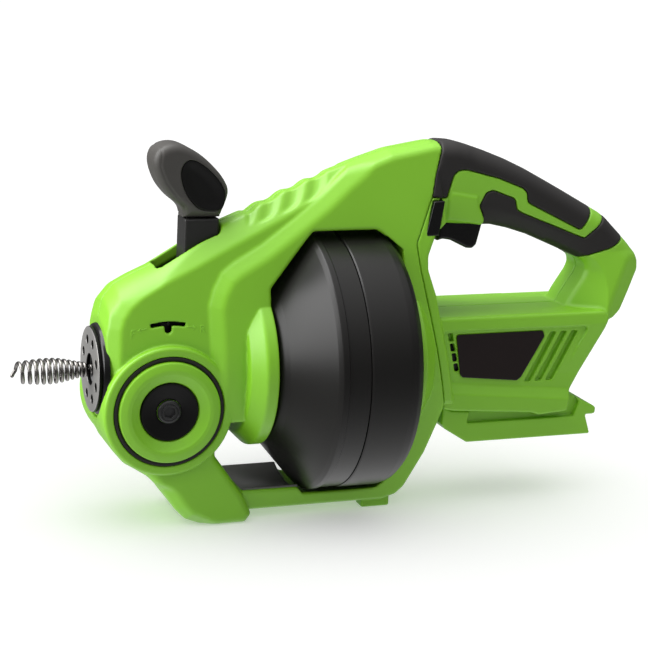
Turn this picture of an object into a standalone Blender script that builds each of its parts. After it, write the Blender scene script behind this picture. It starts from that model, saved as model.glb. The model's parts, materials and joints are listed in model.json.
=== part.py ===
"""Hand-held cordless drain-cleaning machine: a cable drum in an open frame, a D-handle with a
trigger, a nose with a feed lever and a feed selector dial, and a battery rail (no battery fitted).

Run with: blender --background --python part.py

The design is drawn in millimetres in the machine's own frame: the drum and cable axis is the X axis
(nose towards -X), Y = 0 is the parting plane of the housings, Z is up. place() moves it so that the
origin is at the centre of the footprint, on the surface that the machine stands on.
Left and right are the operator's, behind the handle and looking at the nose: left is -Y.
"""
import math

import bmesh
import bpy
from mathutils import Matrix, Vector

for old in list(bpy.data.objects):
    bpy.data.objects.remove(old, do_unlink=True)

# ------------------------------------------------------------------ driving dimensions (mm)
MM = 0.001
GAP = 0.3                 # gap between touching pieces
FLOOR_Z = -100.0          # standing surface, below the drum axis
X_SHIFT = -9.55           # from the machine frame to the footprint's centre

DRUM_R = 86.0             # 172 mm drum for 7.6 m of 6.35 mm cable
DRUM_FRONT, DRUM_REAR = -48.0, 39.0
DRUM_CLEAR = 2.0
CABLE_R = 3.175
COLLAR_R = 54.3
NOSE_FACE = -151.0
NOSE_PLATE_R = 27.2
DIAL_X, DIAL_Z = -115.0, -20.7
BOSS_R = 41.6
DIAL_R = 32.4
LEVER_X, LEVER_Z = -86.0, 46.0     # feed lever's pivot
LEVER_STROKE = 15.0                # degrees
ROLLER_R = 11.0
ROLLER_X = -107.0
MOTOR_R = 22.0
GEAR_X0, GEAR_X1 = 66.0, 76.0      # face width of the planetary stage
SUN_T, PLANET_T, RING_T, MODULE = 12, 18, 48, 0.95
WALL = 2.8

parts = bpy.data.collections.new("drain_cleaning_machine")
bpy.context.scene.collection.children.link(parts)

# ------------------------------------------------------------------ materials
PALETTE = {
    "green": ((0.20, 0.50, 0.03), 0.38, 0.0),
    "black_rubber": ((0.022, 0.021, 0.020), 0.62, 0.0),
    "black_plastic": ((0.028, 0.027, 0.026), 0.42, 0.0),
    "drum_plastic": ((0.035, 0.034, 0.032), 0.40, 0.0),
    "badge": ((0.016, 0.010, 0.010), 0.35, 0.0),
    "steel": ((0.62, 0.62, 0.61), 0.30, 1.0),
    "spring_steel": ((0.45, 0.44, 0.42), 0.32, 1.0),
    "dark_steel": ((0.10, 0.10, 0.10), 0.40, 1.0),
    "copper": ((0.80, 0.45, 0.25), 0.35, 1.0),
    "board": ((0.02, 0.12, 0.05), 0.50, 0.0),
    "nylon": ((0.72, 0.70, 0.62), 0.50, 0.0),
}


def material(node, kind):
    colour, rough, metal = PALETTE[kind]
    made = bpy.data.materials.new(node + "_material")
    made.use_nodes = True
    shader = made.node_tree.nodes["Principled BSDF"]
    shader.inputs["Base Color"].default_value = (*colour, 1.0)
    shader.inputs["Roughness"].default_value = rough
    shader.inputs["Metallic"].default_value = metal
    return made


# ------------------------------------------------------------------ modelling helpers
TO_XZ = Matrix(((1, 0, 0, 0), (0, 0, -1, 0), (0, 1, 0, 0), (0, 0, 0, 1)))   # outline's y -> Z
TO_YZ = Matrix(((0, 0, 1, 0), (1, 0, 0, 0), (0, 1, 0, 0), (0, 0, 0, 1)))    # outline's x -> Y, y -> Z
AXIS = {
    "X": Matrix(((0, 0, 1, 0), (0, 1, 0, 0), (-1, 0, 0, 0), (0, 0, 0, 1))),
    "Y": Matrix(((1, 0, 0, 0), (0, 0, 1, 0), (0, -1, 0, 0), (0, 0, 0, 1))),
    "Z": Matrix.Identity(4),
}


def link(mesh, name="work"):
    made = bpy.data.objects.new(name, mesh)
    parts.objects.link(made)
    return made


def evaluated_mesh(obj):
    bpy.context.view_layer.update()
    graph = bpy.context.evaluated_depsgraph_get()
    return bpy.data.meshes.new_from_object(obj.evaluated_get(graph), depsgraph=graph)


def bake(obj, weld=1e-4):
    """The object with its modifiers or its curve turned into one welded mesh, faces outwards (mm)."""
    mesh = evaluated_mesh(obj)
    mesh.transform(obj.matrix_world)
    bpy.data.objects.remove(obj, do_unlink=True)
    bm = bmesh.new()
    bm.from_mesh(mesh)
    if weld:
        bmesh.ops.remove_doubles(bm, verts=bm.verts, dist=weld)
        bmesh.ops.dissolve_degenerate(bm, edges=bm.edges, dist=weld)
        bmesh.ops.recalc_face_normals(bm, faces=bm.faces)
    if bm.calc_volume(signed=True) < 0:
        bmesh.ops.reverse_faces(bm, faces=bm.faces)
    bm.to_mesh(mesh)
    bm.free()
    return link(mesh)


def outline_solid(points, low, high, turn=TO_XZ):
    """A closed flat outline, extruded from low to high along the third axis."""
    curve = bpy.data.curves.new("outline", "CURVE")
    curve.dimensions = "2D"
    curve.fill_mode = "BOTH"
    spline = curve.splines.new("POLY")
    spline.points.add(len(points) - 1)
    for p, (a, b) in zip(spline.points, points):
        p.co = (a, b, 0, 1)
    spline.use_cyclic_u = True
    curve.extrude = abs(high - low) / 2
    made = bpy.data.objects.new("outline", curve)
    parts.objects.link(made)
    middle = (low + high) / 2
    along = Vector((0, middle, 0)) if turn is TO_XZ else (Vector((middle, 0, 0)) if turn is TO_YZ else Vector((0, 0, middle)))
    made.matrix_world = Matrix.Translation(along) @ turn
    return bake(made)


def turned(profile, steps, axis="X", at=(0, 0, 0), closed=False):
    """A profile of (along, radius) turned about an axis through at. Open profiles end on the axis."""
    mesh = bpy.data.meshes.new("profile")
    bm = bmesh.new()
    made = [bm.verts.new((r, 0, -a if axis == "X" else a)) for a, r in profile]
    for one, two in zip(made, made[1:] + ([made[0]] if closed else [])):
        bm.edges.new((one, two))
    bm.to_mesh(mesh)
    bm.free()
    obj = link(mesh)
    screw = obj.modifiers.new("turn", "SCREW")
    screw.steps = screw.render_steps = steps
    screw.angle = 2 * math.pi
    screw.use_merge_vertices = True
    screw.merge_threshold = 0.0001
    screw.use_smooth_shade = True
    turn = {"X": Matrix(((0, 0, -1, 0), (0, 1, 0, 0), (1, 0, 0, 0), (0, 0, 0, 1))),
            "Y": Matrix(((1, 0, 0, 0), (0, 0, 1, 0), (0, -1, 0, 0), (0, 0, 0, 1))),
            "Z": Matrix.Identity(4)}[axis]
    obj.matrix_world = Matrix.Translation(Vector(at)) @ turn
    return bake(obj)


def ring(a0, a1, r_in, r_out, steps=32, axis="X", at=(0, 0, 0)):
    return turned([(a0, r_in), (a0, r_out), (a1, r_out), (a1, r_in)], steps, axis, at, closed=True)


def rod(a0, a1, r, steps=24, axis="X", at=(0, 0, 0)):
    mesh = bpy.data.meshes.new("rod")
    bm = bmesh.new()
    bmesh.ops.create_cone(bm, cap_ends=True, segments=steps, radius1=r, radius2=r, depth=a1 - a0)
    turn = {"X": AXIS["X"], "Y": AXIS["Y"], "Z": AXIS["Z"]}[axis]
    middle = (a0 + a1) / 2
    off = {"X": Vector((middle, 0, 0)), "Y": Vector((0, middle, 0)), "Z": Vector((0, 0, middle))}[axis]
    bm.transform(Matrix.Translation(Vector(at) + off) @ turn)
    bm.to_mesh(mesh)
    bm.free()
    return bake(link(mesh))


def block(x0, x1, y0, y1, z0, z1, bevel=0.0):
    mesh = bpy.data.meshes.new("block")
    bm = bmesh.new()
    bmesh.ops.create_cube(bm, size=1.0)
    bm.transform(Matrix.Translation(((x0 + x1) / 2, (y0 + y1) / 2, (z0 + z1) / 2))
                 @ Matrix.Diagonal((x1 - x0, y1 - y0, z1 - z0, 1)))
    bm.to_mesh(mesh)
    bm.free()
    obj = link(mesh)
    if bevel:
        soften(obj, bevel)
    return bake(obj)


def soften(obj, width, segments=1, angle=40):
    mod = obj.modifiers.new("soften", "BEVEL")
    mod.width = width
    mod.segments = segments
    mod.limit_method = "ANGLE"
    mod.angle_limit = math.radians(angle)
    return obj


def softened(obj, width, segments=1, angle=40):
    return bake(soften(obj, width, segments, angle))


def combine(obj, other, how, solver="MANIFOLD"):
    mod = obj.modifiers.new(how.lower(), "BOOLEAN")
    mod.operation = how
    mod.solver = solver
    mod.object = other
    made = bake(obj, 0)
    bpy.data.objects.remove(other, do_unlink=True)
    return made


def cut(obj, *others):
    for other in others:
        obj = combine(obj, other, "DIFFERENCE")
    return obj


def join(obj, *others):
    for other in others:
        obj = combine(obj, other, "UNION")
    return obj


def keep(obj, other):
    return combine(obj, other, "INTERSECT")


def mirrored(obj):
    """A copy on the other side of the parting plane."""
    mesh = obj.data.copy()
    mesh.transform(Matrix.Diagonal((1, -1, 1, 1)))
    mesh.flip_normals()
    return link(mesh)


def copied(obj, matrix):
    mesh = obj.data.copy()
    mesh.transform(matrix)
    return link(mesh)


def turn_about(axis, degrees, at):
    at = Vector(at)
    return Matrix.Translation(at) @ Matrix.Rotation(math.radians(degrees), 4, axis) @ Matrix.Translation(-at)


def place(obj, name, kind, pivot=(0, 0, 0)):
    """Millimetres to metres, the origin on the pivot, its name and its material."""
    pivot = Vector(pivot)
    obj.data.transform(Matrix.Diagonal((MM, MM, MM, 1)) @ Matrix.Translation(-pivot))
    obj.location = (pivot + Vector((X_SHIFT, 0, -FLOOR_Z))) * MM
    obj.name = name
    obj.data.name = name
    obj.data.materials.clear()
    obj.data.materials.append(material(name, kind))
    obj.data.shade_smooth()
    obj.data.set_sharp_from_angle(angle=math.radians(35))
    return obj


def wire(points, r, closed=False):
    """A round wire along points, as one mesh. bevel_resolution 2 gives it eight sides."""
    curve = bpy.data.curves.new("wire", "CURVE")
    curve.dimensions = "3D"
    curve.bevel_depth = r
    curve.bevel_resolution = 2
    curve.use_fill_caps = True
    curve.twist_mode = "MINIMUM"
    spline = curve.splines.new("POLY")
    spline.points.add(len(points) - 1)
    for p, co in zip(spline.points, points):
        p.co = (*co, 1)
    made = bpy.data.objects.new("wire", curve)
    parts.objects.link(made)
    return bake(made)


# ------------------------------------------------------------------ housing form
def inset(points, d):
    """A closed outline moved inwards by d, corner by corner."""
    area = sum(a[0] * b[1] - b[0] * a[1] for a, b in zip(points, points[1:] + points[:1]))
    side = 1 if area > 0 else -1
    made = []
    for i, p in enumerate(points):
        a, b = Vector(points[i - 1]), Vector(points[(i + 1) % len(points)])
        p = Vector(p)
        u, v = (p - a).normalized(), (b - p).normalized()
        nu, nv = Vector((-u.y, u.x)) * side, Vector((-v.y, v.x)) * side
        mid = (nu + nv).normalized()
        made.append(tuple(p + mid * (d / max(0.35, mid.dot(nu)))))
    return made


def frame_half_width(z):
    return 38.0 - 0.2 * (math.hypot(z, 25.0) - 25.0)


def nose_half_width(z):
    return 32.0 - (0.2 * (math.hypot(z, 25.0) - 25.0) if z > 0 else 0.0)


def rear_half_width(z):
    return 34.0 - 0.2 * (math.hypot(z, 25.0) - 25.0)


def crowned(outline, width):
    """A housing form: an outline spread to both sides of the parting plane, with drafted sides that
    follow width(z)."""
    heights = (-130, -80, -40, -14, 14, 40, 80, 150)
    section = [(width(z), z) for z in heights] + [(-width(z), z) for z in heights[::-1]]
    return keep(outline_solid(outline, -90, 90), outline_solid(section, -250, 300, TO_YZ))


NOSE = [(63, 141), (45, 138), (30, 134), (0, 122.5), (-22, 113), (-45, 103), (-62, 96), (-78, 87),
        (-100, 73.5), (-118, 63.5), (-132, 58), (-142, 53), (-149, 45), (NOSE_FACE, 34), (NOSE_FACE, -20),
        (-149.5, -36), (-146, -46), (-138, -56), (-126, -64), (-116, -74), (-106.5, -89), (-100, -96), (-91, -100),
        (-60.5, -100), (-57, -94), (-64, -79), (-81, -52), (-76, -40), (-70, -30), (-50, -30), (-52, 56),
        (-33, 86.5), (-24, 90), (40, 112), (58, 115)]
FRAME = [(63, 139), (40, 136), (20, 131), (9, 126), (-12, 106), (-33, 91), (-55, 75), (-70, 66),
         (-78, 54), (-81, 42), (-81, -29), (-50, -31), (-50, 30), (-52, 52), (-32.5, 85.5),
         (-26, 88.6), (23, 88.6), (28, 85.5), (32, 74), (36, 61), (42, 45), (44, 20), (44, -40), (40, -70),
         (27, -84), (10, -84.5), (-20, -84.5), (-24, -80), (-66, -79), (-60, -92), (36, -92), (45, -89),
         (50, -84), (62, -62), (69, -40), (71.2, -25), (63, 16), (52.5, 62), (49, 77), (55.5, 110)]

# ---- front frame: one form, hollowed, then parted into its two halves
LEFT = (-300, 300, -120, -GAP / 2, -200, 200)
RIGHT = (-300, 300, GAP / 2, 120, -200, 200)
body = join(crowned(NOSE, nose_half_width), crowned(FRAME, frame_half_width))
front_collar = turned([(-70, 0), (-70, 33), (-66, 38), (-60, COLLAR_R), (-49.2, COLLAR_R), (-49.2, 0)], 40)
rear_collar = turned([(40.2, 0), (40.2, 52), (42, COLLAR_R), (50, COLLAR_R), (60, 42), (61.5, 36), (61.5, 0)], 40)
boss = turned([(-36, 0), (-36, BOSS_R - 1.5), (-34.5, BOSS_R), (34.5, BOSS_R), (36, BOSS_R - 1.5), (36, 0)],
              36, "Y", (DIAL_X, 0, DIAL_Z))
body = join(body, front_collar, rear_collar, boss)
for side in (-1, 1):
    body = join(body, softened(block(22, 42, *sorted((side * 9, side * 21)), -100, -88), 1.5))

# cavities: nose, spine and the drum's room
nose_room = [(-148.8, 32), (-145.5, 43), (-139, 49.5), (-118, 59.8), (-100, 69.5), (-79, 82), (-72, 80),
             (-72.5, -26), (-80, -42), (-92, -50), (-124, -58), (-137, -50), (-143, -42), (-148.8, -20)]
body = cut(body, crowned(nose_room, lambda z: nose_half_width(z) - WALL))
spine_room = [(-80, 74), (-73, 84), (-62, 92.5), (-45, 99.3), (-22, 109.5), (0, 118.8), (30, 130.5),
              (58, 136.5), (54, 118), (38, 111), (-28, 96), (-56, 84), (-66, 72)]
body = cut(body, crowned(spine_room, lambda z: nose_half_width(z) - WALL))
drum_room = turned([(DRUM_FRONT - 1.4, 0), (DRUM_FRONT - 1.4, 61.5), (-27.5, DRUM_R + DRUM_CLEAR),
                    (30, DRUM_R + DRUM_CLEAR), (40.5, 80), (40.5, 0)], 48)
body = cut(body, drum_room)
leg_room = [(-121, -62), (-112, -70), (-104, -82), (-96, -89.5), (-88, -91.5), (-64, -91.5), (-62, -88), (-88, -54)]
body = cut(body, outline_solid(leg_room, -29.0, 29.0))

# lever slot, nose opening, drum neck bore, bearing seats
body = cut(body, outline_solid([(-118, 52), (-118, 75), (-76, 100), (-76, 62)], -11.5, 11.5))
body = cut(body, rod(-160, -140, 24.0, 40), rod(-80, -40, 18.0, 28), rod(-62.3, -51.7, 21.3, 28),
           rod(30, 80, 20.0, 28), rod(44.7, 55.3, 24.3, 28), rod(58, 90, 28.4, 28),
           rod(-175, NOSE_FACE, 30.2, 32))


def trough(y, lift=0.0):
    return -85.0 + lift + 6.4 * (y / 25.0) ** 2


ACROSS = (-25, -18, -10, 0, 10, 18, 25)
body = cut(body, outline_solid([(y, trough(y)) for y in ACROSS] + [(25, -70), (-25, -70)], -63.5, -30, TO_YZ))
rear_lip = outline_solid([(71.7, -28), (63.8, 15), (53.4, 62), (50.0, 77), (56.6, 110.5), (64, 143), (90, 143), (90, -28)], -60, 60)
body = cut(body, rear_lip)
right = copied(body, Matrix.Identity(4))
left = keep(body, block(*LEFT))
right = keep(right, block(*RIGHT))
# the dial's seat and the arc window of its pointer, in the left half only
left = cut(left, rod(-40, -31.5, 36.9, 36, "Y", (DIAL_X, 0, DIAL_Z)), rod(-34, -20, 7.7, 24, "Y", (DIAL_X, 0, DIAL_Z)),
           block(DIAL_X - 6.2, DIAL_X + 6.2, -34, -20, DIAL_Z - 20.6, DIAL_Z - 15.6))


def on_arc(radius, degrees):
    a = math.radians(degrees)
    return DIAL_X + radius * math.sin(a), DIAL_Z + radius * math.cos(a)


ARC = (-14, -7, 0, 7, 14)
left = cut(left, outline_solid([on_arc(61.3, a) for a in ARC] + [on_arc(57.6, -a) for a in ARC], -40, -20))

# ---- screws: five hold the frame halves together, driven in from the right
FRAME_SCREWS = [(-59, 66.5), (-58, -36), (52, 37), (52, -38), (46, -77)]


def screw(x, z, seat):
    shank = rod(-11.0, seat + 0.5, 1.8, 8, "Y", (x, 0, z))
    head = rod(seat, seat + 3.0, 3.3, 12, "Y", (x, 0, z))
    socket = rod(seat + 1.4, seat + 4, 1.7, 6, "Y", (x, 0, z))
    return cut(join(shank, head), socket)


def screw_room(x, z, seat):
    return rod(-11.5, seat + 1, 2.15, 8, "Y", (x, 0, z)), rod(seat - GAP, 80, 3.7, 12, "Y", (x, 0, z))


for n, (x, z) in enumerate(FRAME_SCREWS, 1):
    seat = 12.0 if z < -70 else 18.0
    thin, wide = screw_room(x, z, seat)
    left = cut(left, thin)
    thin, _ = screw_room(x, z, seat)
    bpy.data.objects.remove(_, do_unlink=True)
    right = cut(right, thin, wide)
    place(screw(x, z, seat), "frame_screw_%d" % n, "dark_steel")
place(left, "front_frame_left", "green")
place(right, "front_frame_right", "green")

# ---- base liner: a thin black tray in the base's trough
liner = outline_solid([(y * 0.97, trough(y, 0.3)) for y in ACROSS] + [(y * 0.97, trough(y, 1.6)) for y in ACROSS[::-1]],
                      -62.5, -37.0, TO_YZ)
place(liner, "base_liner", "black_plastic")

# ---- rear housing: motor body, front wall, handle loop
MOTOR_BODY = [(72.0, -26.8), (64.2, 15), (60.9, 30.3), (186, 30.3), (187.6, 26), (186, 19), (166, -26), (164.2, -36.4),
              (143, -38), (137, -36), (80, -31.5)]
FRONT_WALL = [(72.0, -26.8), (64.1, 15), (53.7, 62), (50.3, 77), (56.9, 110.4), (61.5, 128), (66, 128), (72, 92),
              (64.5, 85), (58.6, 71), (58.4, 62), (63.5, 46), (68, 28), (79, -25)]
LOOP = [(64.4, 142.9), (73, 142.8), (81, 142.4), (92, 139.6), (103, 136), (118, 130.4), (133, 123.7), (148, 116),
        (164, 107.6), (179, 99.5), (194, 91.5), (203, 85), (211, 78), (218, 71), (224, 65), (225.4, 60), (225, 53),
        (219, 37), (213, 21), (205, 16), (190, 14), (120, 20), (66, 20), (54.2, 62), (50.6, 77), (56.9, 110.2)]
OPENING = [(66.5, 30.6), (63.6, 46), (58.5, 62), (58.7, 71), (64.5, 85), (72, 90.5), (103, 88.2), (108, 87.9),
           (121, 84.9), (136, 80.2), (155.6, 72), (171, 65.4), (178.5, 61), (180.4, 56), (178, 50.5), (173, 43),
           (170, 36), (172, 30.6)]


def loop_half_width(z):
    return 18.0 + 13.0 * min(1.0, max(0.0, (70.0 - z) / 40.0))


loop = crowned(LOOP, loop_half_width)
rear = join(crowned(MOTOR_BODY, rear_half_width), loop)
rear = cut(rear, outline_solid(OPENING, -60, 60))
rear = join(rear, crowned(FRONT_WALL, frame_half_width))

# room for the overmoulded grip: everything of the handle outside its core, within each grip's outline
CORE = [(40, 140.4), (81, 140.0), (92, 137.2), (103, 133.6), (118, 128), (133, 121.3), (148, 113.7), (164, 105.3),
        (179, 97.2), (193, 89.6), (202, 83), (209.5, 76), (216, 69), (196, 66), (180, 64), (172, 67.6), (156.4, 74.4),
        (137, 82.6), (121.7, 87.4), (108.3, 90.3), (96, 91), (40, 91)]
UPPER = [(65.4, 160), (66.4, 133), (64.9, 108.5), (73.5, 107.5), (77.5, 122.5), (81.2, 125.1), (86.8, 125.3),
         (110.2, 119.3), (128.1, 112.4), (131.2, 109.3), (132.1, 102.6), (173.5, 82.0), (185.5, 96.5), (196.5, 110),
         (120, 160)]
LOWER = [(94, 60), (94, 90), (97, 93), (99.4, 96.7), (96.7, 100.7), (101.4, 109.9), (106.4, 111.5), (122.7, 105.5),
         (124.6, 99.4), (129.2, 97.3), (175.8, 80.5), (191, 91.5), (204, 108), (224, 88), (211.5, 77.5), (196, 70.0),
         (178, 66.0), (170, 60)]


def core(grow):
    return outline_solid(inset(CORE, -grow), -15.8 - grow, 15.8 + grow)


grip_form = keep(outline_solid(LOOP, -18, 18), outline_solid([(60, 60), (60, 160), (230, 160), (230, 60)], -30, 30))
grip_form = cut(grip_form, outline_solid(OPENING, -60, 60))
grips = {}
for name, region in (("upper", UPPER), ("lower", LOWER)):
    grips[name] = cut(keep(copied(grip_form, Matrix.Identity(4)), outline_solid(inset(region, GAP), -40, 40)), core(GAP))
    rear = cut(rear, cut(outline_solid(region, -40, 40), core(0)))
bpy.data.objects.remove(grip_form, do_unlink=True)

# cavities: gearbox and motor, switch, board; trigger slot; direction switch's passage
rear = cut(rear, rod(60, 93, 28.4, 40), rod(90, 168, 23.0, 32), rod(40, 70, 20.0, 32))
SWITCH_ROOM = [(71.5, 96), (72.5, 124), (84, 133), (108, 127), (127, 118), (126, 104), (112, 96)]
rear = cut(rear, outline_solid(SWITCH_ROOM, -11, 11))
rear = cut(rear, outline_solid([(70.6, 66), (70.6, 100), (105.6, 100), (105.6, 66)], -8.6, 8.6))
rear = cut(rear, block(95, 162, -20, 20, -30.4, -20))
SWITCH = [(58.6, 84.5), (62.3, 105.5), (68.6, 106), (65.4, 85)]
rear = cut(rear, outline_solid(inset(SWITCH, -0.5), -60, 60))
# side pockets for the badge plates, and slanted air vents
BADGE = [(80.5, 18.6), (142.8, 18.2), (144.2, 14.5), (129.5, -13.2), (126.0, -15.4), (85.6, -11.6), (84.0, -9.0)]
for side in (-1, 1):
    rear = cut(rear, outline_solid(inset(BADGE, -0.4), *sorted((side * 30.6, side * 45))))
    for x in (149.5, 157.0, 164.5):
        slat = [(x, 17.2), (x + 4.6, 17.2), (x - 12.6, -16.0), (x - 17.2, -16.0)]
        rear = cut(rear, outline_solid(slat, *sorted((side * 29.4, side * 45))))
rear_right = copied(rear, Matrix.Identity(4))
rear_left = keep(rear, block(*LEFT))
rear_right = keep(rear_right, block(*RIGHT))
HOUSING_SCREWS = [(201, 44), (177, 12)]
for n, (x, z) in enumerate(HOUSING_SCREWS, 1):
    thin, wide = screw_room(x, z, 12.0)
    bpy.data.objects.remove(wide, do_unlink=True)
    rear_left = cut(rear_left, thin)
    rear_right = cut(rear_right, *screw_room(x, z, 12.0))
    place(screw(x, z, 12.0), "housing_screw_%d" % n, "dark_steel")
place(rear_left, "rear_housing_left", "green")
place(rear_right, "rear_housing_right", "green")
grips["lower"] = cut(grips["lower"], outline_solid([(80, 60), (80, 100), (106, 100), (106, 60)], -8.6, 8.6))
for name, grip in grips.items():
    other = copied(grip, Matrix.Identity(4))
    place(keep(grip, block(*LEFT)), "grip_%s_left" % name, "black_rubber")
    place(keep(other, block(*RIGHT)), "grip_%s_right" % name, "black_rubber")
for side, name in ((-1, "left"), (1, "right")):
    plate = outline_solid(BADGE, *sorted((side * 31.0, side * 32.6)))
    place(plate, "badge_plate_" + name, "badge")

# ---- battery rail under the motor body, open to the rear, with its terminal block
RAIL = [(73.5, -31.0), (73.2, -43), (76, -46.5), (92, -56.5), (184.5, -56.5), (180, -42.6), (187.5, -42.6),
        (187.5, -37.6), (168.5, -28.2), (166.0, -37.4), (164.8, -38.9), (143.2, -40.5), (136.7, -38.4), (80, -33.9)]
rail = outline_solid(RAIL, -30, 30)
for side in (-1, 1):
    rail = cut(rail, block(94, 184, *sorted((side * 25.0, side * 40)), -43.0, -39.2))
rail = cut(rail, block(112, 220, -19, 19, -60, -47.5))
place(rail, "battery_rail", "green")
terminals = block(114, 146, -15, 15, -53.5, -47.8)
for y in (-10, -4, 2, 8):
    terminals = cut(terminals, block(120, 160, y, y + 1.6, -55, -49.5))
place(terminals, "terminal_block", "black_plastic")
place(block(98, 158, -18, 18, -28.6, -27.0), "control_board", "board")

# ---- trigger, its spring and switch; direction switch
TRIGGER = [(74, 98), (73.2, 84), (71.6, 75.5), (76, 77.4), (82, 76.6), (88, 74), (94, 70.8), (98.5, 70.6), (101, 73.5),
           (104.4, 88), (103, 98)]
place(softened(outline_solid(TRIGGER, -8, 8), 1.2, 1, 30), "trigger", "black_plastic")
place(softened(block(77, 112, -9, 9, 108, 122), 1.0), "switch_module", "black_plastic")
turns, radius = 4, 3.0
place(wire([(90 + radius * math.cos(a), radius * math.sin(a), 98.9 + 8.2 * k / (turns * 8))
            for k, a in ((k, 2 * math.pi * k / 8) for k in range(turns * 8 + 1))], 0.45), "trigger_spring", "spring_steel")
place(softened(outline_solid(SWITCH, -25.6, 25.6), 0.8), "direction_switch", "black_plastic")

# ---- drum: two shells, the cable wound inside
front_shell = turned([(DRUM_FRONT, 15), (DRUM_FRONT, 60), (-45.9, 61.6), (-28.3, 84.2), (-25.6, DRUM_R), (-GAP / 2, DRUM_R),
                      (-GAP / 2, DRUM_R - 2.6), (-25, DRUM_R - 2.6), (-27, 82), (-44.6, 58.5), (-45.4, 8), (-69, 8), (-69, 15)], 44, closed=True)
place(front_shell, "drum_front_shell", "drum_plastic", (0, 0, 0))
rear_shell = turned([(GAP / 2, DRUM_R - 2.6), (GAP / 2, DRUM_R), (27, DRUM_R), (32, 84.6), (36.2, 80.5), (38.4, 75),
                     (DRUM_REAR, 70), (DRUM_REAR, 10.3), (26, 10.3), (26, 14), (36.4, 14), (36.4, 70),
                     (33.8, 78.6), (27, DRUM_R - 2.6)], 44, closed=True)
place(rear_shell, "drum_rear_shell", "drum_plastic", (0, 0, 0))
place(ring(-12, 18, 70, 82, 40), "cable_coil", "spring_steel")

# ---- cable in the nose, and the auger tip: a wire spring with a bulb
TIP_FRONT, TIP_BACK, TIP_TURNS = -203.5, -159.6, 12


def tip_radius(s):
    """Coil radius along the tip, s from 0 at the front to 1 at the cable."""
    front, bulb, back = 5.9, 7.3, 3.6
    if s < 0.38:
        return front + (bulb - front) * math.sin(math.pi / 2 * s / 0.38)
    t = (s - 0.38) / 0.62
    return bulb + (back - bulb) * (3 * t * t - 2 * t ** 3)


def tip_along(s):
    """Distance along the axis: open turns at the front, closed at the cable."""
    return TIP_FRONT + (TIP_BACK - TIP_FRONT) * (1.30 * s - 0.30 * s * s)


helix = []
for k in range(TIP_TURNS * 9 + 1):
    s, a = k / (TIP_TURNS * 9), 2 * math.pi * k / 9
    helix.append((tip_along(s), tip_radius(s) * math.cos(a), tip_radius(s) * math.sin(a)))
first = helix[0]
helix.insert(0, (first[0] - 2.2, first[1] - 0.6, first[2] - 1.6))
place(wire(helix, 1.15), "auger_tip", "spring_steel")
place(rod(-158.4, -40, CABLE_R, 16), "cable_run", "spring_steel")

# ---- nose: steel plate with eight holes on a black flange
plate = ring(-157.85, -155.6, 10.0, NOSE_PLATE_R, 32)
for k in range(8):
    a = 2 * math.pi * (k + 0.5) / 8
    plate = cut(plate, rod(-170, -150, 2.6, 10, "X", (0, 19 * math.cos(a), 19 * math.sin(a))))
place(plate, "nose_plate", "steel")
flange = turned([(-155.3, 10.0), (-155.3, 27.8), (NOSE_FACE - GAP, 29.8), (NOSE_FACE - GAP, 23.6), (-146.8, 23.6),
                 (-146.8, 7.6), (-150.8, 7.6)], 32, closed=True)
place(flange, "nose_flange", "black_plastic")

# ---- selector dial, with its hub, bolt, seal ring and pointer
AT_DIAL = (DIAL_X, 0, DIAL_Z)
dial = turned([(-38.6, 22), (-39.8, 27), (-38.8, 31.4), (-37, DIAL_R), (-31.9, DIAL_R), (-31.9, 7.3), (-22.6, 7.3),
               (-22.6, 3), (-33.6, 3), (-33.6, 19.0), (-34.6, 19.0)], 36, "Y", AT_DIAL, closed=True)
dial = join(dial, rod(-33, -18.4, 2.0, 12, "Y", (DIAL_X, 0, DIAL_Z - 18)))
place(dial, "selector_dial", "green", AT_DIAL)
hub = turned([(-35.6, 8.4), (-36.6, 10), (-36.6, 17.6), (-35.6, 18.6), (-33.9, 18.6), (-33.9, 8.4)], 28, "Y", AT_DIAL, closed=True)
place(hub, "dial_hub", "black_plastic", AT_DIAL)
bolt = turned([(-36.2, 3.0), (-36.8, 4.2), (-36.2, 6.2), (-35.2, 7.6), (-33.9, 7.6), (-33.9, 3.0)], 24, "Y", AT_DIAL, closed=True)
place(bolt, "dial_bolt", "dark_steel", AT_DIAL)
place(ring(-35.7, -31.8, 32.8, 36.5, 36, "Y", AT_DIAL), "dial_seal_ring", "black_rubber")
sector = outline_solid([on_arc(52, a) for a in (-14, 0, 14)] + [on_arc(64.5, -a) for a in (-14, 0, 14)], -23.2, -21.2)
low_stem = outline_solid([(DIAL_X - 9.5, DIAL_Z - 8), (DIAL_X - 7, 17), (DIAL_X + 7, 17), (DIAL_X + 9.5, DIAL_Z - 8)],
                         -27.6, -25.6)
pointer = join(sector, low_stem, block(DIAL_X - 6, DIAL_X + 6, -23.2, -21.2, 13, 36),
               block(DIAL_X - 6, DIAL_X + 6, -27.2, -21.6, 13, 16.6), rod(-29.4, -22, 1.5, 12, "Y", (DIAL_X, 0, DIAL_Z + 59.4)))
pointer = cut(pointer, rod(-30, -10, 7.6, 24, "Y", AT_DIAL))
place(pointer, "selector_pointer", "black_plastic", AT_DIAL)

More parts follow.
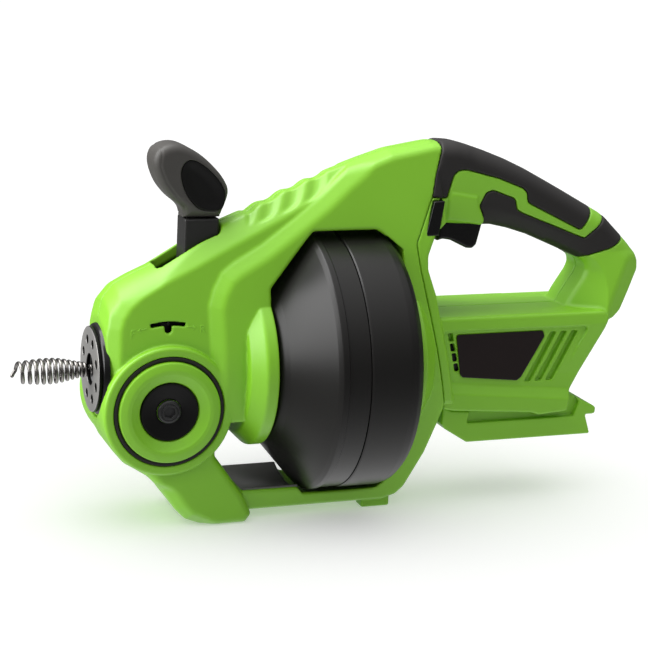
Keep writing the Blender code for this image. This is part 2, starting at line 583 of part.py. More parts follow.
# ---- feed rollers: two in a cradle that the dial skews, one on the lever
LOW = CABLE_R + ROLLER_R + 0.35
low_y, low_z = LOW * math.cos(math.radians(30)), -LOW * math.sin(math.radians(30))
cradle = block(-121, -93, -15, 15, -33, -27)
for x0, x1 in ((-119.6, -116.2), (-97.8, -94.4)):
    cradle = join(cradle, outline_solid([(-19, -30), (-19, -3.8), (19, -3.8), (19, -30)], x0, x1, TO_YZ))
cradle = join(cradle, block(-122, -108, -21.6, -12, -44.5, -28.5))
cradle = cut(cradle, block(DIAL_X - 2.4, DIAL_X + 2.4, -30, -16.4, -50, -34.0))
for y in (-low_y, low_y):
    cradle = cut(cradle, rod(-125, -90, 2.5, 16, "X", (0, y, low_z)))
cradle = cut(cradle, rod(-60, -20, 4.1, 20, "Z", (ROLLER_X, 0, 0)), rod(-130, -80, 6.0, 24))
place(cradle, "roller_cradle", "dark_steel", (ROLLER_X, 0, 0))


def roller(x, y, z, stub):
    body = turned([(x - stub, 0), (x - stub, 2.1), (x - 8, 2.1), (x - 8, ROLLER_R - 1.3), (x - 3, ROLLER_R - 0.4),
                   (x + 3, ROLLER_R - 0.4), (x + 8, ROLLER_R - 1.3), (x + 8, 2.1), (x + stub, 2.1), (x + stub, 0)],
                  20, "X", (0, y, z))
    return body


place(roller(ROLLER_X, -low_y, low_z, 12), "feed_roller_lower_left", "steel", (ROLLER_X, -low_y, low_z))
place(roller(ROLLER_X, low_y, low_z, 12), "feed_roller_lower_right", "steel", (ROLLER_X, low_y, low_z))
place(rod(-52.4, -27.6, 3.8, 20, "Z", (ROLLER_X, 0, 0)), "cradle_pivot_pin", "steel")

# ---- feed lever: shaft, bell-crank and yoke in one casting; its grip; pivot pin and torsion spring
UP_X, UP_Z = -112.0, 20.4
shaft = softened(outline_solid([(-78, 96), (-100.4, 96), (-100.8, 60), (-97, 38), (-82, 36), (-76.4, 42), (-76.4, 50),
                                (-78.4, 60)], -9.5, 9.5), 2.0, 1, 30)
yoke = outline_solid([(-124.4, 35), (-124.4, 40), (-104, 43), (-92, 48), (-90, 36), (-100, 35)], -8, 8)
lever = join(shaft, yoke, block(-124.4, -121.2, -5.5, 5.5, 16, 36), block(-102.8, -99.8, -5.5, 5.5, 16, 36))
lever = cut(lever, rod(-20, 20, 4.3, 20, "Y", (LEVER_X, 0, LEVER_Z)), rod(-130, -90, 2.5, 16, "X", (0, 0, UP_Z)))
LEVER_AT = (LEVER_X, 0, LEVER_Z)
place(lever, "feed_lever", "black_plastic", LEVER_AT)
GRIP = [(-76, 96.4), (-103, 96.4), (-105, 103), (-112, 111), (-118, 119), (-121.3, 129.5), (-120, 138), (-115, 142.3),
        (-107, 143.4), (-99, 141), (-89, 134.6), (-79, 125), (-73.7, 117.3), (-72.5, 112), (-74.5, 106)]
PAD = [(-79, 107), (-90, 108.5), (-98, 114), (-103.5, 122), (-103, 129), (-97.5, 132), (-89, 129), (-80.5, 120.5), (-76.5, 112.5)]
knob = softened(outline_solid(GRIP, -13, 13), 5.0, 2, 30)
knob = cut(knob, outline_solid(PAD, -20, -11.2), outline_solid(PAD, 11.2, 20))
place(knob, "lever_grip", "black_plastic", LEVER_AT)
for side, name in ((-1, "left"), (1, "right")):
    pad = outline_solid(inset(PAD, GAP + 0.1), *sorted((side * 11.5, side * 12.7)))
    place(pad, "lever_pad_" + name, "black_rubber", LEVER_AT)
place(rod(-22, 22, 4.0, 20, "Y", (LEVER_X, 0, LEVER_Z)), "lever_pivot_pin", "steel")
place(roller(UP_X, 0, UP_Z, 11.5), "pressure_roller", "steel", (UP_X, 0, UP_Z))
coil = [(LEVER_X + 6.6 * math.cos(a), 11.0 + 6.4 * k / 32, LEVER_Z + 6.6 * math.sin(a))
        for k, a in ((k, 2 * math.pi * k / 8) for k in range(33))]
place(wire(coil, 0.7), "lever_spring", "spring_steel")

# ---- bearings, planetary stage and motor
place(ring(-62.0, -52.0, 15.35, 21.0, 28), "front_bearing", "steel")
place(ring(45.0, 55.0, 10.35, 24.0, 28), "rear_bearing", "steel")


def gear(teeth, module, x0, x1, bore, backlash=0.22):
    """A spur gear with straight-flanked teeth, about the X axis, a tooth's middle on +Y."""
    pitch, tip, root = module * teeth / 2, module * (teeth / 2 + 0.9), module * (teeth / 2 - 1.2)
    outline = []
    for k in range(teeth):
        middle = 2 * math.pi * k / teeth
        for r, share in ((root, 0.36), (tip, 0.15), (tip, -0.15), (root, -0.36)):
            a = middle - (2 * math.pi / teeth) * (share - math.copysign(backlash / (2 * math.pi * pitch / teeth) / 2, share))
            outline.append((r * math.cos(a), r * math.sin(a)))
    return cut(outline_solid(outline, x0, x1, TO_YZ), rod(x0 - 5, x1 + 5, bore, 16))


def ring_gear(teeth, module, x0, x1, outer):
    root, tip = module * (teeth / 2 + 1.3), module * (teeth / 2 - 0.9)
    outline = []
    for k in range(teeth):
        middle = 2 * math.pi * (k + 0.5) / teeth
        for r, share in ((root, 0.34), (tip, 0.13), (tip, -0.13), (root, -0.34)):
            a = middle - (2 * math.pi / teeth) * share
            outline.append((r * math.cos(a), r * math.sin(a)))
    return cut(rod(x0, x1, outer, 32), outline_solid(outline, x0 - 5, x1 + 5, TO_YZ))


# each planet has a tooth towards the ring and, its count being even, one towards the sun: the sun
# is turned by half a tooth to meet it with a gap, and the ring's gaps start on the same radius
sun = gear(SUN_T, MODULE, GEAR_X0, GEAR_X1, 2.5)
sun.data.transform(Matrix.Rotation(math.pi / SUN_T, 4, "X"))
place(sun, "sun_gear", "steel", (GEAR_X0, 0, 0))
centre = MODULE * (SUN_T + PLANET_T) / 2
carrier = join(rod(31, 60.9, 10.0, 24), rod(60.5, 64.5, 21.5, 28))
for k in range(3):
    a = 2 * math.pi * k / 3
    y, z = centre * math.cos(a), centre * math.sin(a)
    carrier = join(carrier, rod(64.0, 76.5, 2.2, 12, "X", (0, y, z)))
    planet = gear(PLANET_T, MODULE, GEAR_X0, GEAR_X1, 2.5)
    planet.data.transform(Matrix.Translation((0, y, z)))
    place(planet, "planet_gear_%d" % (k + 1), "nylon", (GEAR_X0, y, z))
place(carrier, "planet_carrier", "steel", (0, 0, 0))
place(ring_gear(RING_T, MODULE, GEAR_X0 - 0.6, GEAR_X1 + 0.6, 27.4), "ring_gear", "steel")
place(turned([(77.0, 10), (77.0, 27.4), (88, 27.4), (90, 22.2), (99.4, 22.2), (99.4, 10)], 28, closed=True), "gearbox_housing", "dark_steel")
place(turned([(100, 4), (100, MOTOR_R), (156, MOTOR_R), (160, 18), (166, 8), (166, 4)], 24, closed=True), "motor", "dark_steel")
place(rod(66.2, 167, 2.2, 16), "motor_shaft", "steel", (GEAR_X0, 0, 0))
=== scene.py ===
import json
import math

import bmesh
import bpy
import numpy as np
from mathutils import Matrix, Vector

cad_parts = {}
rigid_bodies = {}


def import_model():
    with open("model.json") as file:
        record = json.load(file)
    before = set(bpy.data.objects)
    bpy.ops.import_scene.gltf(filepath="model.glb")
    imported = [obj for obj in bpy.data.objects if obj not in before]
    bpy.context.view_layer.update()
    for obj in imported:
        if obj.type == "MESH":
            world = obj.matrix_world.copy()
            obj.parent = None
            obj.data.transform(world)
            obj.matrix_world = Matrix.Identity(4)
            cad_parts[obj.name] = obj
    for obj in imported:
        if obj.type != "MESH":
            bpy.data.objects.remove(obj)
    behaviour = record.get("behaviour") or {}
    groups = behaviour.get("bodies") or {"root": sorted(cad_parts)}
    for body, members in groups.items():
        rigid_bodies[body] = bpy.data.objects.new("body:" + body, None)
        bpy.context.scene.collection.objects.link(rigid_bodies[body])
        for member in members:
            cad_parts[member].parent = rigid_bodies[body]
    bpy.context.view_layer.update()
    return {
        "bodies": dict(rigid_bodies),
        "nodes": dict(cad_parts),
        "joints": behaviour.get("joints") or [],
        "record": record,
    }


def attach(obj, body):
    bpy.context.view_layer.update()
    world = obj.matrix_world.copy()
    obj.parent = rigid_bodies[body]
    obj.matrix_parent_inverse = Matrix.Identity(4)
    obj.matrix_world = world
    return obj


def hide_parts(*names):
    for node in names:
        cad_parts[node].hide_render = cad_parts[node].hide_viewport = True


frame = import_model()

DX, FZ = -9.55, 100.0         # machine frame (mm, drum axis = X axis) to the row frame (m)
NODES = frame["nodes"]
f32 = np.float32


def world(points):
    p = np.asarray(points, float).reshape(-1, 3)
    return (p + np.array([DX, 0.0, FZ])) / 1000.0


# ------------------------------------------------------------------ distance-field modelling
def fillet(points, radius, steps=5):
    """A closed outline with its corners rounded. radius is one number or one per corner."""
    n = len(points)
    radii = radius if hasattr(radius, "__len__") else [radius] * n
    out = []
    for i in range(n):
        a, p, b = (np.array(points[(i + k) % n], float) for k in (-1, 0, 1))
        u, v = a - p, b - p
        lu, lv = np.linalg.norm(u), np.linalg.norm(v)
        if lu < 1e-6 or lv < 1e-6:
            continue
        u, v = u / lu, v / lv
        turn = math.acos(float(np.clip(-(u @ v), -1, 1)))
        t = min(radii[i] * math.tan(turn / 2), 0.48 * lu, 0.48 * lv)
        if turn < 0.05 or t < 0.02:
            out.append(tuple(p))
            continue
        k = max(2, int(steps * turn / 1.0) + 1)
        for j in range(k + 1):
            s = j / k
            out.append(tuple((1 - s) ** 2 * (p + u * t) + 2 * s * (1 - s) * p + s * s * (p + v * t)))
    return out


def outline_distance(points, a, b):
    """Signed distance, negative inside, from the points (a, b) to a closed outline."""
    d = np.full(np.broadcast(a, b).shape, 1e12, f32)
    sign = np.ones(d.shape, f32)
    n = len(points)
    for i in range(n):
        (x0, y0), (x1, y1) = points[i], points[(i + 1) % n]
        ex, ey = x1 - x0, y1 - y0
        if ex * ex + ey * ey < 1e-12:
            continue
        wx, wy = a - x0, b - y0
        t = np.clip((wx * ex + wy * ey) / (ex * ex + ey * ey), 0, 1)
        d = np.minimum(d, (wx - ex * t) ** 2 + (wy - ey * t) ** 2)
        c1, c2, c3 = b >= y0, b < y1, ex * wy > ey * wx
        sign = np.where((c1 & c2 & c3) | (~c1 & ~c2 & ~c3), -sign, sign)
    return (sign * np.sqrt(d)).astype(f32)


def spline(points, keep=(), steps=5):
    """A smooth closed outline through the points; corners listed in keep stay sharp."""
    p = np.array(points, float)
    n, out = len(p), []
    for i in range(n):
        a, b, c, d = p[i - 1], p[i], p[(i + 1) % n], p[(i + 2) % n]
        m1 = (c - b) * 0.6 if i in keep else (c - a) * 0.5
        m2 = (c - b) * 0.6 if (i + 1) % n in keep else (d - b) * 0.5
        for j in range(steps):
            t = j / steps
            out.append(tuple((2 * t ** 3 - 3 * t * t + 1) * b + (t ** 3 - 2 * t * t + t) * m1
                             + (3 * t * t - 2 * t ** 3) * c + (t ** 3 - t * t) * m2))
    return out


class Grid:
    def __init__(self, lo, hi, step):
        self.h = step * 1.0
        self.lo = np.array(lo, float)
        n = np.ceil((np.array(hi, float) - self.lo) / self.h).astype(int) + 1
        ax = [(self.lo[k] + self.h * np.arange(n[k])).astype(f32) for k in range(3)]
        self.X, self.Y, self.Z = ax[0][:, None, None], ax[1][None, :, None], ax[2][None, None, :]
        self.ay = np.abs(self.Y)
        self.shape = tuple(n)

    def xz(self, points, r=0.0):
        return outline_distance(fillet(points, r) if r else points, self.X[:, :, :], self.Z[:, :, :])

    def xy(self, points, r=0.0):
        return outline_distance(fillet(points, r) if r else points, self.X, self.Y)

    def yz(self, points, r=0.0):
        return outline_distance(fillet(points, r) if r else points, self.Y, self.Z)

    def sheared(self, flat, drop):
        """An XZ field (nx,1,nz) lowered by drop(|y|) at each y."""
        nz = flat.shape[2]
        out = np.empty((flat.shape[0], self.shape[1], nz), f32)
        k = np.arange(nz)
        for j in range(self.shape[1]):
            s = float(drop(abs(float(self.Y[0, j, 0])))) / self.h
            q = np.clip(k + s, 0, nz - 1.001)
            i = q.astype(int)
            f = (q - i).astype(f32)
            out[:, j, :] = flat[:, 0, i] * (1 - f) + flat[:, 0, i + 1] * f
        return out

    def rx(self, y=0.0, z=0.0):
        return np.sqrt((self.Y - y) ** 2 + (self.Z - z) ** 2)

    def ry(self, x, z):
        return np.sqrt((self.X - x) ** 2 + (self.Z - z) ** 2)


def u(*f):
    out = f[0]
    for g in f[1:]:
        out = np.minimum(out, g)
    return out


def i_(*f):
    out = f[0]
    for g in f[1:]:
        out = np.maximum(out, g)
    return out


def ri(a, b, r):
    """Intersection with its edge rounded to radius r."""
    return np.minimum(np.maximum(a, b), -r) + np.hypot(np.maximum(a + r, 0), np.maximum(b + r, 0))


def ru(a, b, r):
    """Union with its inner corner filled to radius r."""
    return np.maximum(np.minimum(a, b), r) - np.hypot(np.maximum(r - a, 0), np.maximum(r - b, 0))


def cut(a, b, r=0.0):
    return ri(a, -b, r) if r else np.maximum(a, -b)


def step01(a, b, x):
    t = np.clip((x - a) / (b - a), 0, 1)
    return t * t * (3 - 2 * t)


def slab(v, low, high):
    return np.maximum(low - v, v - high)


def tube_x(g, x0, x1, r, y=0.0, z=0.0):
    return i_(g.rx(y, z) - r, slab(g.X, x0, x1))


def sample(field, q):
    n = np.array(field.shape) - 1.001
    q = np.clip(q, 0, n)
    i = q.astype(np.int64)
    f = (q - i).astype(f32)
    flat = field.reshape(-1)
    sy, sx = field.shape[2], field.shape[1] * field.shape[2]
    base = i[:, 0] * sx + i[:, 1] * sy + i[:, 2]
    out = np.zeros(len(q), f32)
    for a in (0, 1):
        wa = f[:, 0] if a else 1 - f[:, 0]
        for b in (0, 1):
            wb = f[:, 1] if b else 1 - f[:, 1]
            for c in (0, 1):
                wc = f[:, 2] if c else 1 - f[:, 2]
                out += wa * wb * wc * flat[base + a * sx + b * sy + c]
    return out


def surface(g, field):
    """The zero surface of a field as quads: points (mm), faces, normals."""
    v = np.ascontiguousarray(np.broadcast_to(field, g.shape), dtype=f32)
    inside = v < 0
    c = np.zeros(tuple(np.array(v.shape) - 1), np.int8)
    for a in (0, 1):
        for b in (0, 1):
            for d in (0, 1):
                c += inside[a:v.shape[0] - 1 + a, b:v.shape[1] - 1 + b, d:v.shape[2] - 1 + d]
    active = (c > 0) & (c < 8)
    cells = np.argwhere(active)
    index = np.full(c.shape, -1, np.int32)
    index[active] = np.arange(len(cells), dtype=np.int32)
    flat = v.reshape(-1)
    sy, sx = v.shape[2], v.shape[1] * v.shape[2]
    base = cells[:, 0] * sx + cells[:, 1] * sy + cells[:, 2]
    corner = [(a, b, d) for a in (0, 1) for b in (0, 1) for d in (0, 1)]
    pos = np.zeros((len(cells), 3))
    count = np.zeros(len(cells))
    for m, p in enumerate(corner):
        for q in corner[m + 1:]:
            if sum(abs(np.subtract(p, q))) != 1:
                continue
            fa = flat[base + p[0] * sx + p[1] * sy + p[2]]
            fb = flat[base + q[0] * sx + q[1] * sy + q[2]]
            hit = (fa < 0) != (fb < 0)
            t = np.where(hit, fa / np.where(hit, fa - fb, 1), 0)
            pos += np.where(hit, 1, 0)[:, None] * (np.array(p) + np.outer(t, np.subtract(q, p)))
            count += hit
    pos = pos / count[:, None] + cells

    def gradient(q, e=0.5):
        out = np.empty((len(q), 3))
        for k in range(3):
            dq = np.zeros(3)
            dq[k] = e
            out[:, k] = sample(v, q + dq) - sample(v, q - dq)
        return out

    for _ in range(2):
        gr = gradient(pos)
        size = np.maximum((gr ** 2).sum(1), 1e-6)
        move = -(sample(v, pos) / size)[:, None] * gr
        length = np.linalg.norm(move, axis=1)
        pos += move * np.minimum(1, 0.45 / np.maximum(length, 1e-9))[:, None]
    normals = gradient(pos, 0.6)
    normals /= np.maximum(np.linalg.norm(normals, axis=1), 1e-9)[:, None]
    faces = []
    for axis in range(3):
        o1, o2 = (axis + 1) % 3, (axis + 2) % 3
        sl = [slice(None)] * 3
        a_sl, b_sl = list(sl), list(sl)
        a_sl[axis], b_sl[axis] = slice(0, v.shape[axis] - 1), slice(1, v.shape[axis])
        for k in (o1, o2):
            a_sl[k] = b_sl[k] = slice(1, v.shape[k] - 1)
        ia, ib = inside[tuple(a_sl)], inside[tuple(b_sl)]
        at = np.argwhere(ia != ib)
        if not len(at):
            continue
        first = ia[ia != ib]
        at[:, o1] += 1
        at[:, o2] += 1
        quad = []
        for d1, d2 in ((1, 1), (0, 1), (0, 0), (1, 0)):
            cell = at.copy()
            cell[:, o1] -= d1
            cell[:, o2] -= d2
            quad.append(index[cell[:, 0], cell[:, 1], cell[:, 2]])
        quad = np.stack(quad, 1)
        quad[~first] = quad[~first][:, ::-1]
        faces.append(quad)
    faces = np.concatenate(faces)
    return pos * g.h + g.lo, faces, normals


# ------------------------------------------------------------------ mesh makers
def make(name, points, faces, material, body, replaces=(), normals=None, sharp=None):
    mesh = bpy.data.meshes.new(name)
    mesh.from_pydata(world(points).tolist(), [], [list(map(int, f)) for f in faces])
    mesh.validate()
    mesh.shade_smooth()
    if normals is not None and len(mesh.vertices) == len(normals):
        mesh.normals_split_custom_set_from_vertices([tuple(n) for n in normals.tolist()])
    elif sharp:
        mesh.set_sharp_from_angle(angle=math.radians(sharp))
    obj = bpy.data.objects.new(name, mesh)
    bpy.context.scene.collection.objects.link(obj)
    mesh.materials.append(material)
    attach(obj, body)
    if replaces:
        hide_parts(*([replaces] if isinstance(replaces, str) else replaces))
    return obj


def field_piece(name, g, field, material, body, replaces=(), mirror_name=None, mirror_replaces=()):
    p, f, n = surface(g, field)
    made = make(name, p, f, material, body, replaces, n)
    if mirror_name:
        q, m = p * (1, -1, 1), n * (1, -1, 1)
        make(mirror_name, q, f[:, ::-1], material, body, mirror_replaces, m)
    return made


def lathe(name, profile, axis, at, material, body, replaces=(), r=0.0, steps=144):
    """A closed profile of (along, radius) turned about an axis through at."""
    prof = fillet(profile, r) if r else profile
    steps = steps
    a = np.array([p[0] for p in prof])
    rad = np.maximum(np.array([p[1] for p in prof]), 0.0)
    th = 2 * np.pi * np.arange(steps) / steps
    n = len(prof)
    along = np.repeat(a[None, :], steps, 0)
    c, s = np.cos(th)[:, None] * rad, np.sin(th)[:, None] * rad
    p = {"X": np.stack([along, c, s], 2), "Y": np.stack([c, along, s], 2)}[axis].reshape(-1, 3) + np.array(at)
    i, j = np.meshgrid(np.arange(steps), np.arange(n), indexing="ij")
    i2, j2 = (i + 1) % steps, (j + 1) % n
    f = np.stack([i * n + j, i2 * n + j, i2 * n + j2, i * n + j2], 2).reshape(-1, 4)
    area = sum(prof[k][0] * prof[(k + 1) % n][1] - prof[(k + 1) % n][0] * prof[k][1] for k in range(n))
    if (area > 0) == (axis == "X"):
        f = f[:, ::-1]
    mesh = bpy.data.meshes.new(name)
    mesh.from_pydata(world(p).tolist(), [], f.tolist())
    bm = bmesh.new()
    bm.from_mesh(mesh)
    bmesh.ops.remove_doubles(bm, verts=bm.verts, dist=1e-6)
    if bm.calc_volume(signed=True) < 0:
        bmesh.ops.reverse_faces(bm, faces=bm.faces)
    bm.to_mesh(mesh)
    bm.free()
    mesh.shade_smooth()
    mesh.set_sharp_from_angle(angle=math.radians(38))
    obj = bpy.data.objects.new(name, mesh)
    bpy.context.scene.collection.objects.link(obj)
    mesh.materials.append(material)
    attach(obj, body)
    if replaces:
        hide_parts(*([replaces] if isinstance(replaces, str) else replaces))
    return obj


def wire(name, points, radius, material, body, replaces=(), sides=12, taper=None):
    """A round wire swept along points, with rounded ends, as a mesh."""
    p = np.asarray(points, float)
    t = np.gradient(p, axis=0)
    t /= np.linalg.norm(t, axis=1)[:, None]
    nrm = np.cross(t[0], [0.3, 0.2, 1.0])
    nrm /= np.linalg.norm(nrm)
    rings, normals = [], []
    for k in range(len(p)):
        nrm = nrm - t[k] * (nrm @ t[k])
        nrm /= np.linalg.norm(nrm)
        b = np.cross(t[k], nrm)
        a = 2 * np.pi * np.arange(sides) / sides
        ring = np.cos(a)[:, None] * nrm + np.sin(a)[:, None] * b
        rings.append(p[k] + ring * radius)
        normals.append(ring)
    first = [(p[0] - t[0] * radius * math.sin(a) + (rings[0] - p[0]) * math.cos(a)) for a in (1.2, 0.7)]
    last = [(p[-1] + t[-1] * radius * math.sin(a) + (rings[-1] - p[-1]) * math.cos(a)) for a in (0.7, 1.2)]
    stack = np.concatenate([*first, *rings, *last])
    m = len(rings) + 4
    faces = [[i * sides + j, i * sides + (j + 1) % sides, (i + 1) * sides + (j + 1) % sides, (i + 1) * sides + j]
             for i in range(m - 1) for j in range(sides)]
    faces.append(list(range(sides))[::-1])
    faces.append([(m - 1) * sides + j for j in range(sides)])
    obj = make(name, stack, faces, material, body, replaces, sharp=60)
    bm = bmesh.new()
    bm.from_mesh(obj.data)
    bmesh.ops.recalc_face_normals(bm, faces=bm.faces)
    bm.to_mesh(obj.data)
    bm.free()
    return obj


# ------------------------------------------------------------------ materials
def mat(name, colour, rough, metal=0.0, vary=0.04, grain=900.0, bump=0.08, spec=0.5, coat=0.0, coat_rough=0.1,
        rough_vary=0.06, stretch=None, blotch=28.0):
    """Moulded plastic or metal: fine grain in the bump, slow drift in colour and gloss."""
    m = bpy.data.materials.new(name)
    m.use_nodes = True
    nt = m.node_tree
    sh = nt.nodes["Principled BSDF"]
    sh.inputs["Metallic"].default_value = metal
    sh.inputs["Specular IOR Level"].default_value = spec
    sh.inputs["Coat Weight"].default_value = coat
    sh.inputs["Coat Roughness"].default_value = coat_rough
    tc = nt.nodes.new("ShaderNodeTexCoord")
    source = tc.outputs["Object"]
    if stretch:
        mp = nt.nodes.new("ShaderNodeMapping")
        mp.inputs["Scale"].default_value = stretch
        nt.links.new(source, mp.inputs["Vector"])
        source = mp.outputs["Vector"]
    slow = nt.nodes.new("ShaderNodeTexNoise")
    slow.inputs["Scale"].default_value = blotch
    slow.inputs["Detail"].default_value = 3.0
    nt.links.new(source, slow.inputs["Vector"])
    fine = nt.nodes.new("ShaderNodeTexNoise")
    fine.inputs["Scale"].default_value = grain
    fine.inputs["Detail"].default_value = 2.0
    nt.links.new(source, fine.inputs["Vector"])
    ramp = nt.nodes.new("ShaderNodeMix")
    ramp.data_type = "RGBA"
    ramp.inputs["A"].default_value = (*[c * (1 - vary) for c in colour], 1)
    ramp.inputs["B"].default_value = (*[min(1, c * (1 + vary)) for c in colour], 1)
    nt.links.new(slow.outputs["Fac"], ramp.inputs["Factor"])
    nt.links.new(ramp.outputs["Result"], sh.inputs["Base Color"])
    rr = nt.nodes.new("ShaderNodeMapRange")
    rr.inputs["To Min"].default_value = max(0.03, rough - rough_vary)
    rr.inputs["To Max"].default_value = min(1, rough + rough_vary)
    nt.links.new(slow.outputs["Fac"], rr.inputs["Value"])
    nt.links.new(rr.outputs["Result"], sh.inputs["Roughness"])
    if bump:
        bp = nt.nodes.new("ShaderNodeBump")
        bp.inputs["Strength"].default_value = bump
        bp.inputs["Distance"].default_value = 0.0002
        nt.links.new(fine.outputs["Fac"], bp.inputs["Height"])
        nt.links.new(bp.outputs["Normal"], sh.inputs["Normal"])
    return m


GREEN = mat("moulded_green", (0.178, 0.440, 0.016), 0.41, vary=0.03, grain=1400, bump=0.05, spec=0.5)
RUBBER = mat("soft_overmould", (0.017, 0.0155, 0.015), 0.55, vary=0.10, grain=2200, bump=0.22, spec=0.30)
TRAY = mat("tray_moulding", (0.095, 0.093, 0.090), 0.34, vary=0.08, grain=1500, bump=0.06)
BLACK = mat("black_moulding", (0.004, 0.0038, 0.0038), 0.34, vary=0.08, grain=1600, bump=0.10, spec=0.22)
SHAFT = mat("lever_moulding", (0.013, 0.0125, 0.012), 0.40, vary=0.08, grain=1600, bump=0.10, spec=0.45)
LEVERB = mat("lever_rubber", (0.047, 0.044, 0.040), 0.50, vary=0.10, grain=2000, bump=0.16, spec=0.45)
PAD = mat("thumb_pad", (0.004, 0.0038, 0.0036), 0.42, vary=0.10, grain=2000, bump=0.14, spec=0.25)
DRUM = mat("drum_moulding", (0.008, 0.0075, 0.007), 0.34, vary=0.08, grain=1300, bump=0.08, blotch=14, spec=0.28)
GLOSSB = mat("gloss_black", (0.003, 0.003, 0.003), 0.18, vary=0.08, grain=1000, bump=0.03, spec=0.35)
BADGE = mat("badge_print", (0.009, 0.0035, 0.0035), 0.30, vary=0.06, grain=1200, bump=0.03, spec=0.40)
STEEL = mat("plated_steel", (0.66, 0.65, 0.63), 0.42, 1.0, vary=0.06, grain=700, bump=0.06, stretch=(1, 1, 1))
SPRING = mat("spring_steel", (0.22, 0.21, 0.20), 0.26, 1.0, vary=0.18, grain=500, bump=0.08)
DARK = mat("black_oxide", (0.045, 0.045, 0.046), 0.38, 0.7, vary=0.12, grain=900, bump=0.08)
NYLON = mat("natural_nylon", (0.70, 0.67, 0.58), 0.45, vary=0.04)
BOARD = mat("circuit_laminate", (0.012, 0.10, 0.035), 0.35, vary=0.15, blotch=180)
COPPER = mat("wound_coil", (0.42, 0.40, 0.38), 0.3, 1.0, vary=0.2, grain=700, bump=0.3)
# the nose plate is bright on its two faces only: the walls of its holes and its rim get painted shade, a near-black
# colour wherever the surface turns away from the plate's axis
PLATE = mat("perforated_steel_painted_hole_shade", (0.62, 0.61, 0.59), 0.42, 1.0, vary=0.06, grain=700, bump=0.06, stretch=(1, 1, 1))
tree = PLATE.node_tree
shader = tree.nodes["Principled BSDF"]
facing = tree.nodes.new("ShaderNodeVectorMath")
facing.operation = "DOT_PRODUCT"
facing.inputs[1].default_value = (1, 0, 0)
tree.links.new(tree.nodes.new("ShaderNodeNewGeometry").outputs["Normal"], facing.inputs[0])
size = tree.nodes.new("ShaderNodeMath")
size.operation = "ABSOLUTE"
tree.links.new(facing.outputs["Value"], size.inputs[0])
hole_shade_mask = tree.nodes.new("ShaderNodeMapRange")
hole_shade_mask.inputs["From Min"].default_value = 0.60
hole_shade_mask.inputs["From Max"].default_value = 0.92
tree.links.new(size.outputs["Value"], hole_shade_mask.inputs["Value"])
# painted shade: near-black colour mixed in on the hole walls and rim, where the normal faces away from the X axis
painted_hole_shade = tree.nodes.new("ShaderNodeMix")
painted_hole_shade.data_type = "RGBA"
painted_hole_shade.inputs["A"].default_value = (0.015, 0.015, 0.015, 1)
tree.links.new(shader.inputs["Base Color"].links[0].from_socket, painted_hole_shade.inputs["B"])
tree.links.new(hole_shade_mask.outputs["Result"], painted_hole_shade.inputs["Factor"])
tree.links.new(painted_hole_shade.outputs["Result"], shader.inputs["Base Color"])
BY_SLOT = {"green_housing": GREEN, "soft_rubber": RUBBER, "badge_plastic": BADGE, "black_plastic": BLACK,
           "drum_plastic": DRUM, "spring_steel": SPRING, "dark_steel": DARK, "bright_steel": STEEL,
           "gear_nylon": NYLON, "circuit_board": BOARD}
for entry in frame["record"]["subparts"]:
    node = NODES[entry["node"]]
    node.data.materials.clear()
    node.data.materials.append(BY_SLOT[entry["material_slot"]])


# ------------------------------------------------------------------ the housings' shared forms (mm)
def frame_w(z):
    return 38.0 - 0.2 * (np.hypot(z, 25.0) - 25.0)


def nose_w(z):
    return 32.0 - np.where(z > 0, 0.2 * (np.hypot(z, 25.0) - 25.0), 0.0)


def arch(y, radius=36.0):
    """How far the spine's top falls away at |y| from the parting plane."""
    y = min(y, radius * 0.95)
    return radius - math.sqrt(radius * radius - y * y)


DIAL_X, DIAL_Z = -115.0, -20.7
TOP = [(-153, -260), (-153, 34), (-150.5, 46), (-143.5, 54.5), (-133, 60.2), (-120, 66), (-100, 78), (-78, 91.5), (-62, 98),
       (-45, 106.5), (-30, 113.5), (-9, 122.5), (18, 132), (35, 137.6), (64.5, 142.6), (95, 143), (95, -260)]
LOWER = [(-156, 240), (-153, -20), (-151.4, -38), (-147.8, -48), (-140, -57.5), (-126, -65.5), (-116.5, -75), (-107, -89.5),
         (-100.5, -96.2), (-91, -100), (-61.5, -100), (-57.3, -94.5), (-64.5, -79.5), (-83, -53.5), (-81, -42), (-71, -30),
         (-50, -30), (-49.2, 54), (-25.2, 83.2), (-20, 88.8), (66, 88.8), (66, 240)]
FRAME = [(26, 150), (12, 131), (0, 122), (-14, 110), (-34, 95.5), (-54, 81.5), (-73, 71), (-81, 65), (-87, 54),
         (-90, 44), (-89, 19), (-88, -29), (-84, -31), (-50, -31), (-48.6, 30), (-49.3, 54), (-25.2, 83.0), (-20, 88.6),
         (23, 88.6), (28, 85.5), (32, 74), (36, 61), (42, 45), (44, 20), (44, -40), (40, -70), (27, -84), (10, -84.5),
         (-20, -84.5), (-24, -80), (-66, -79.5), (-60, -94.2), (36, -94.2), (45, -91.4), (50.5, -86), (62, -62), (69, -40),
         (73, -26), (90, 0), (90, 150)]
BAND = [(26, 150), (12, 131), (0, 122), (-14, 110), (-34, 95.5), (-54, 81.5), (-73, 71), (-81, 65), (-87, 54), (-90, 44),
        (-89, 19), (-88, -31), (-60, -60), (-60, -300), (400, -300), (400, 150)]
SEAM = [(72.5, 160), (69.9, 142), (66.3, 129), (64.2, 122), (61.6, 108.5), (50.0, 79), (52.4, 62), (62.4, 16), (71.4, -26), (78, -60), (78, -200),
        (-300, -200), (-300, 160)]


CREST_O = [(-146.5, -300), (-146, -10), (-145.6, 9.4), (-144.6, 31), (-142.4, 38), (-138.0, 44.4), (-130, 51.4), (-119.7, 57),
           (-96.6, 67.6), (-68.4, 81.8), (-38.5, 96.2), (-6.7, 112.4), (60, 145), (200, 200), (200, -300)]


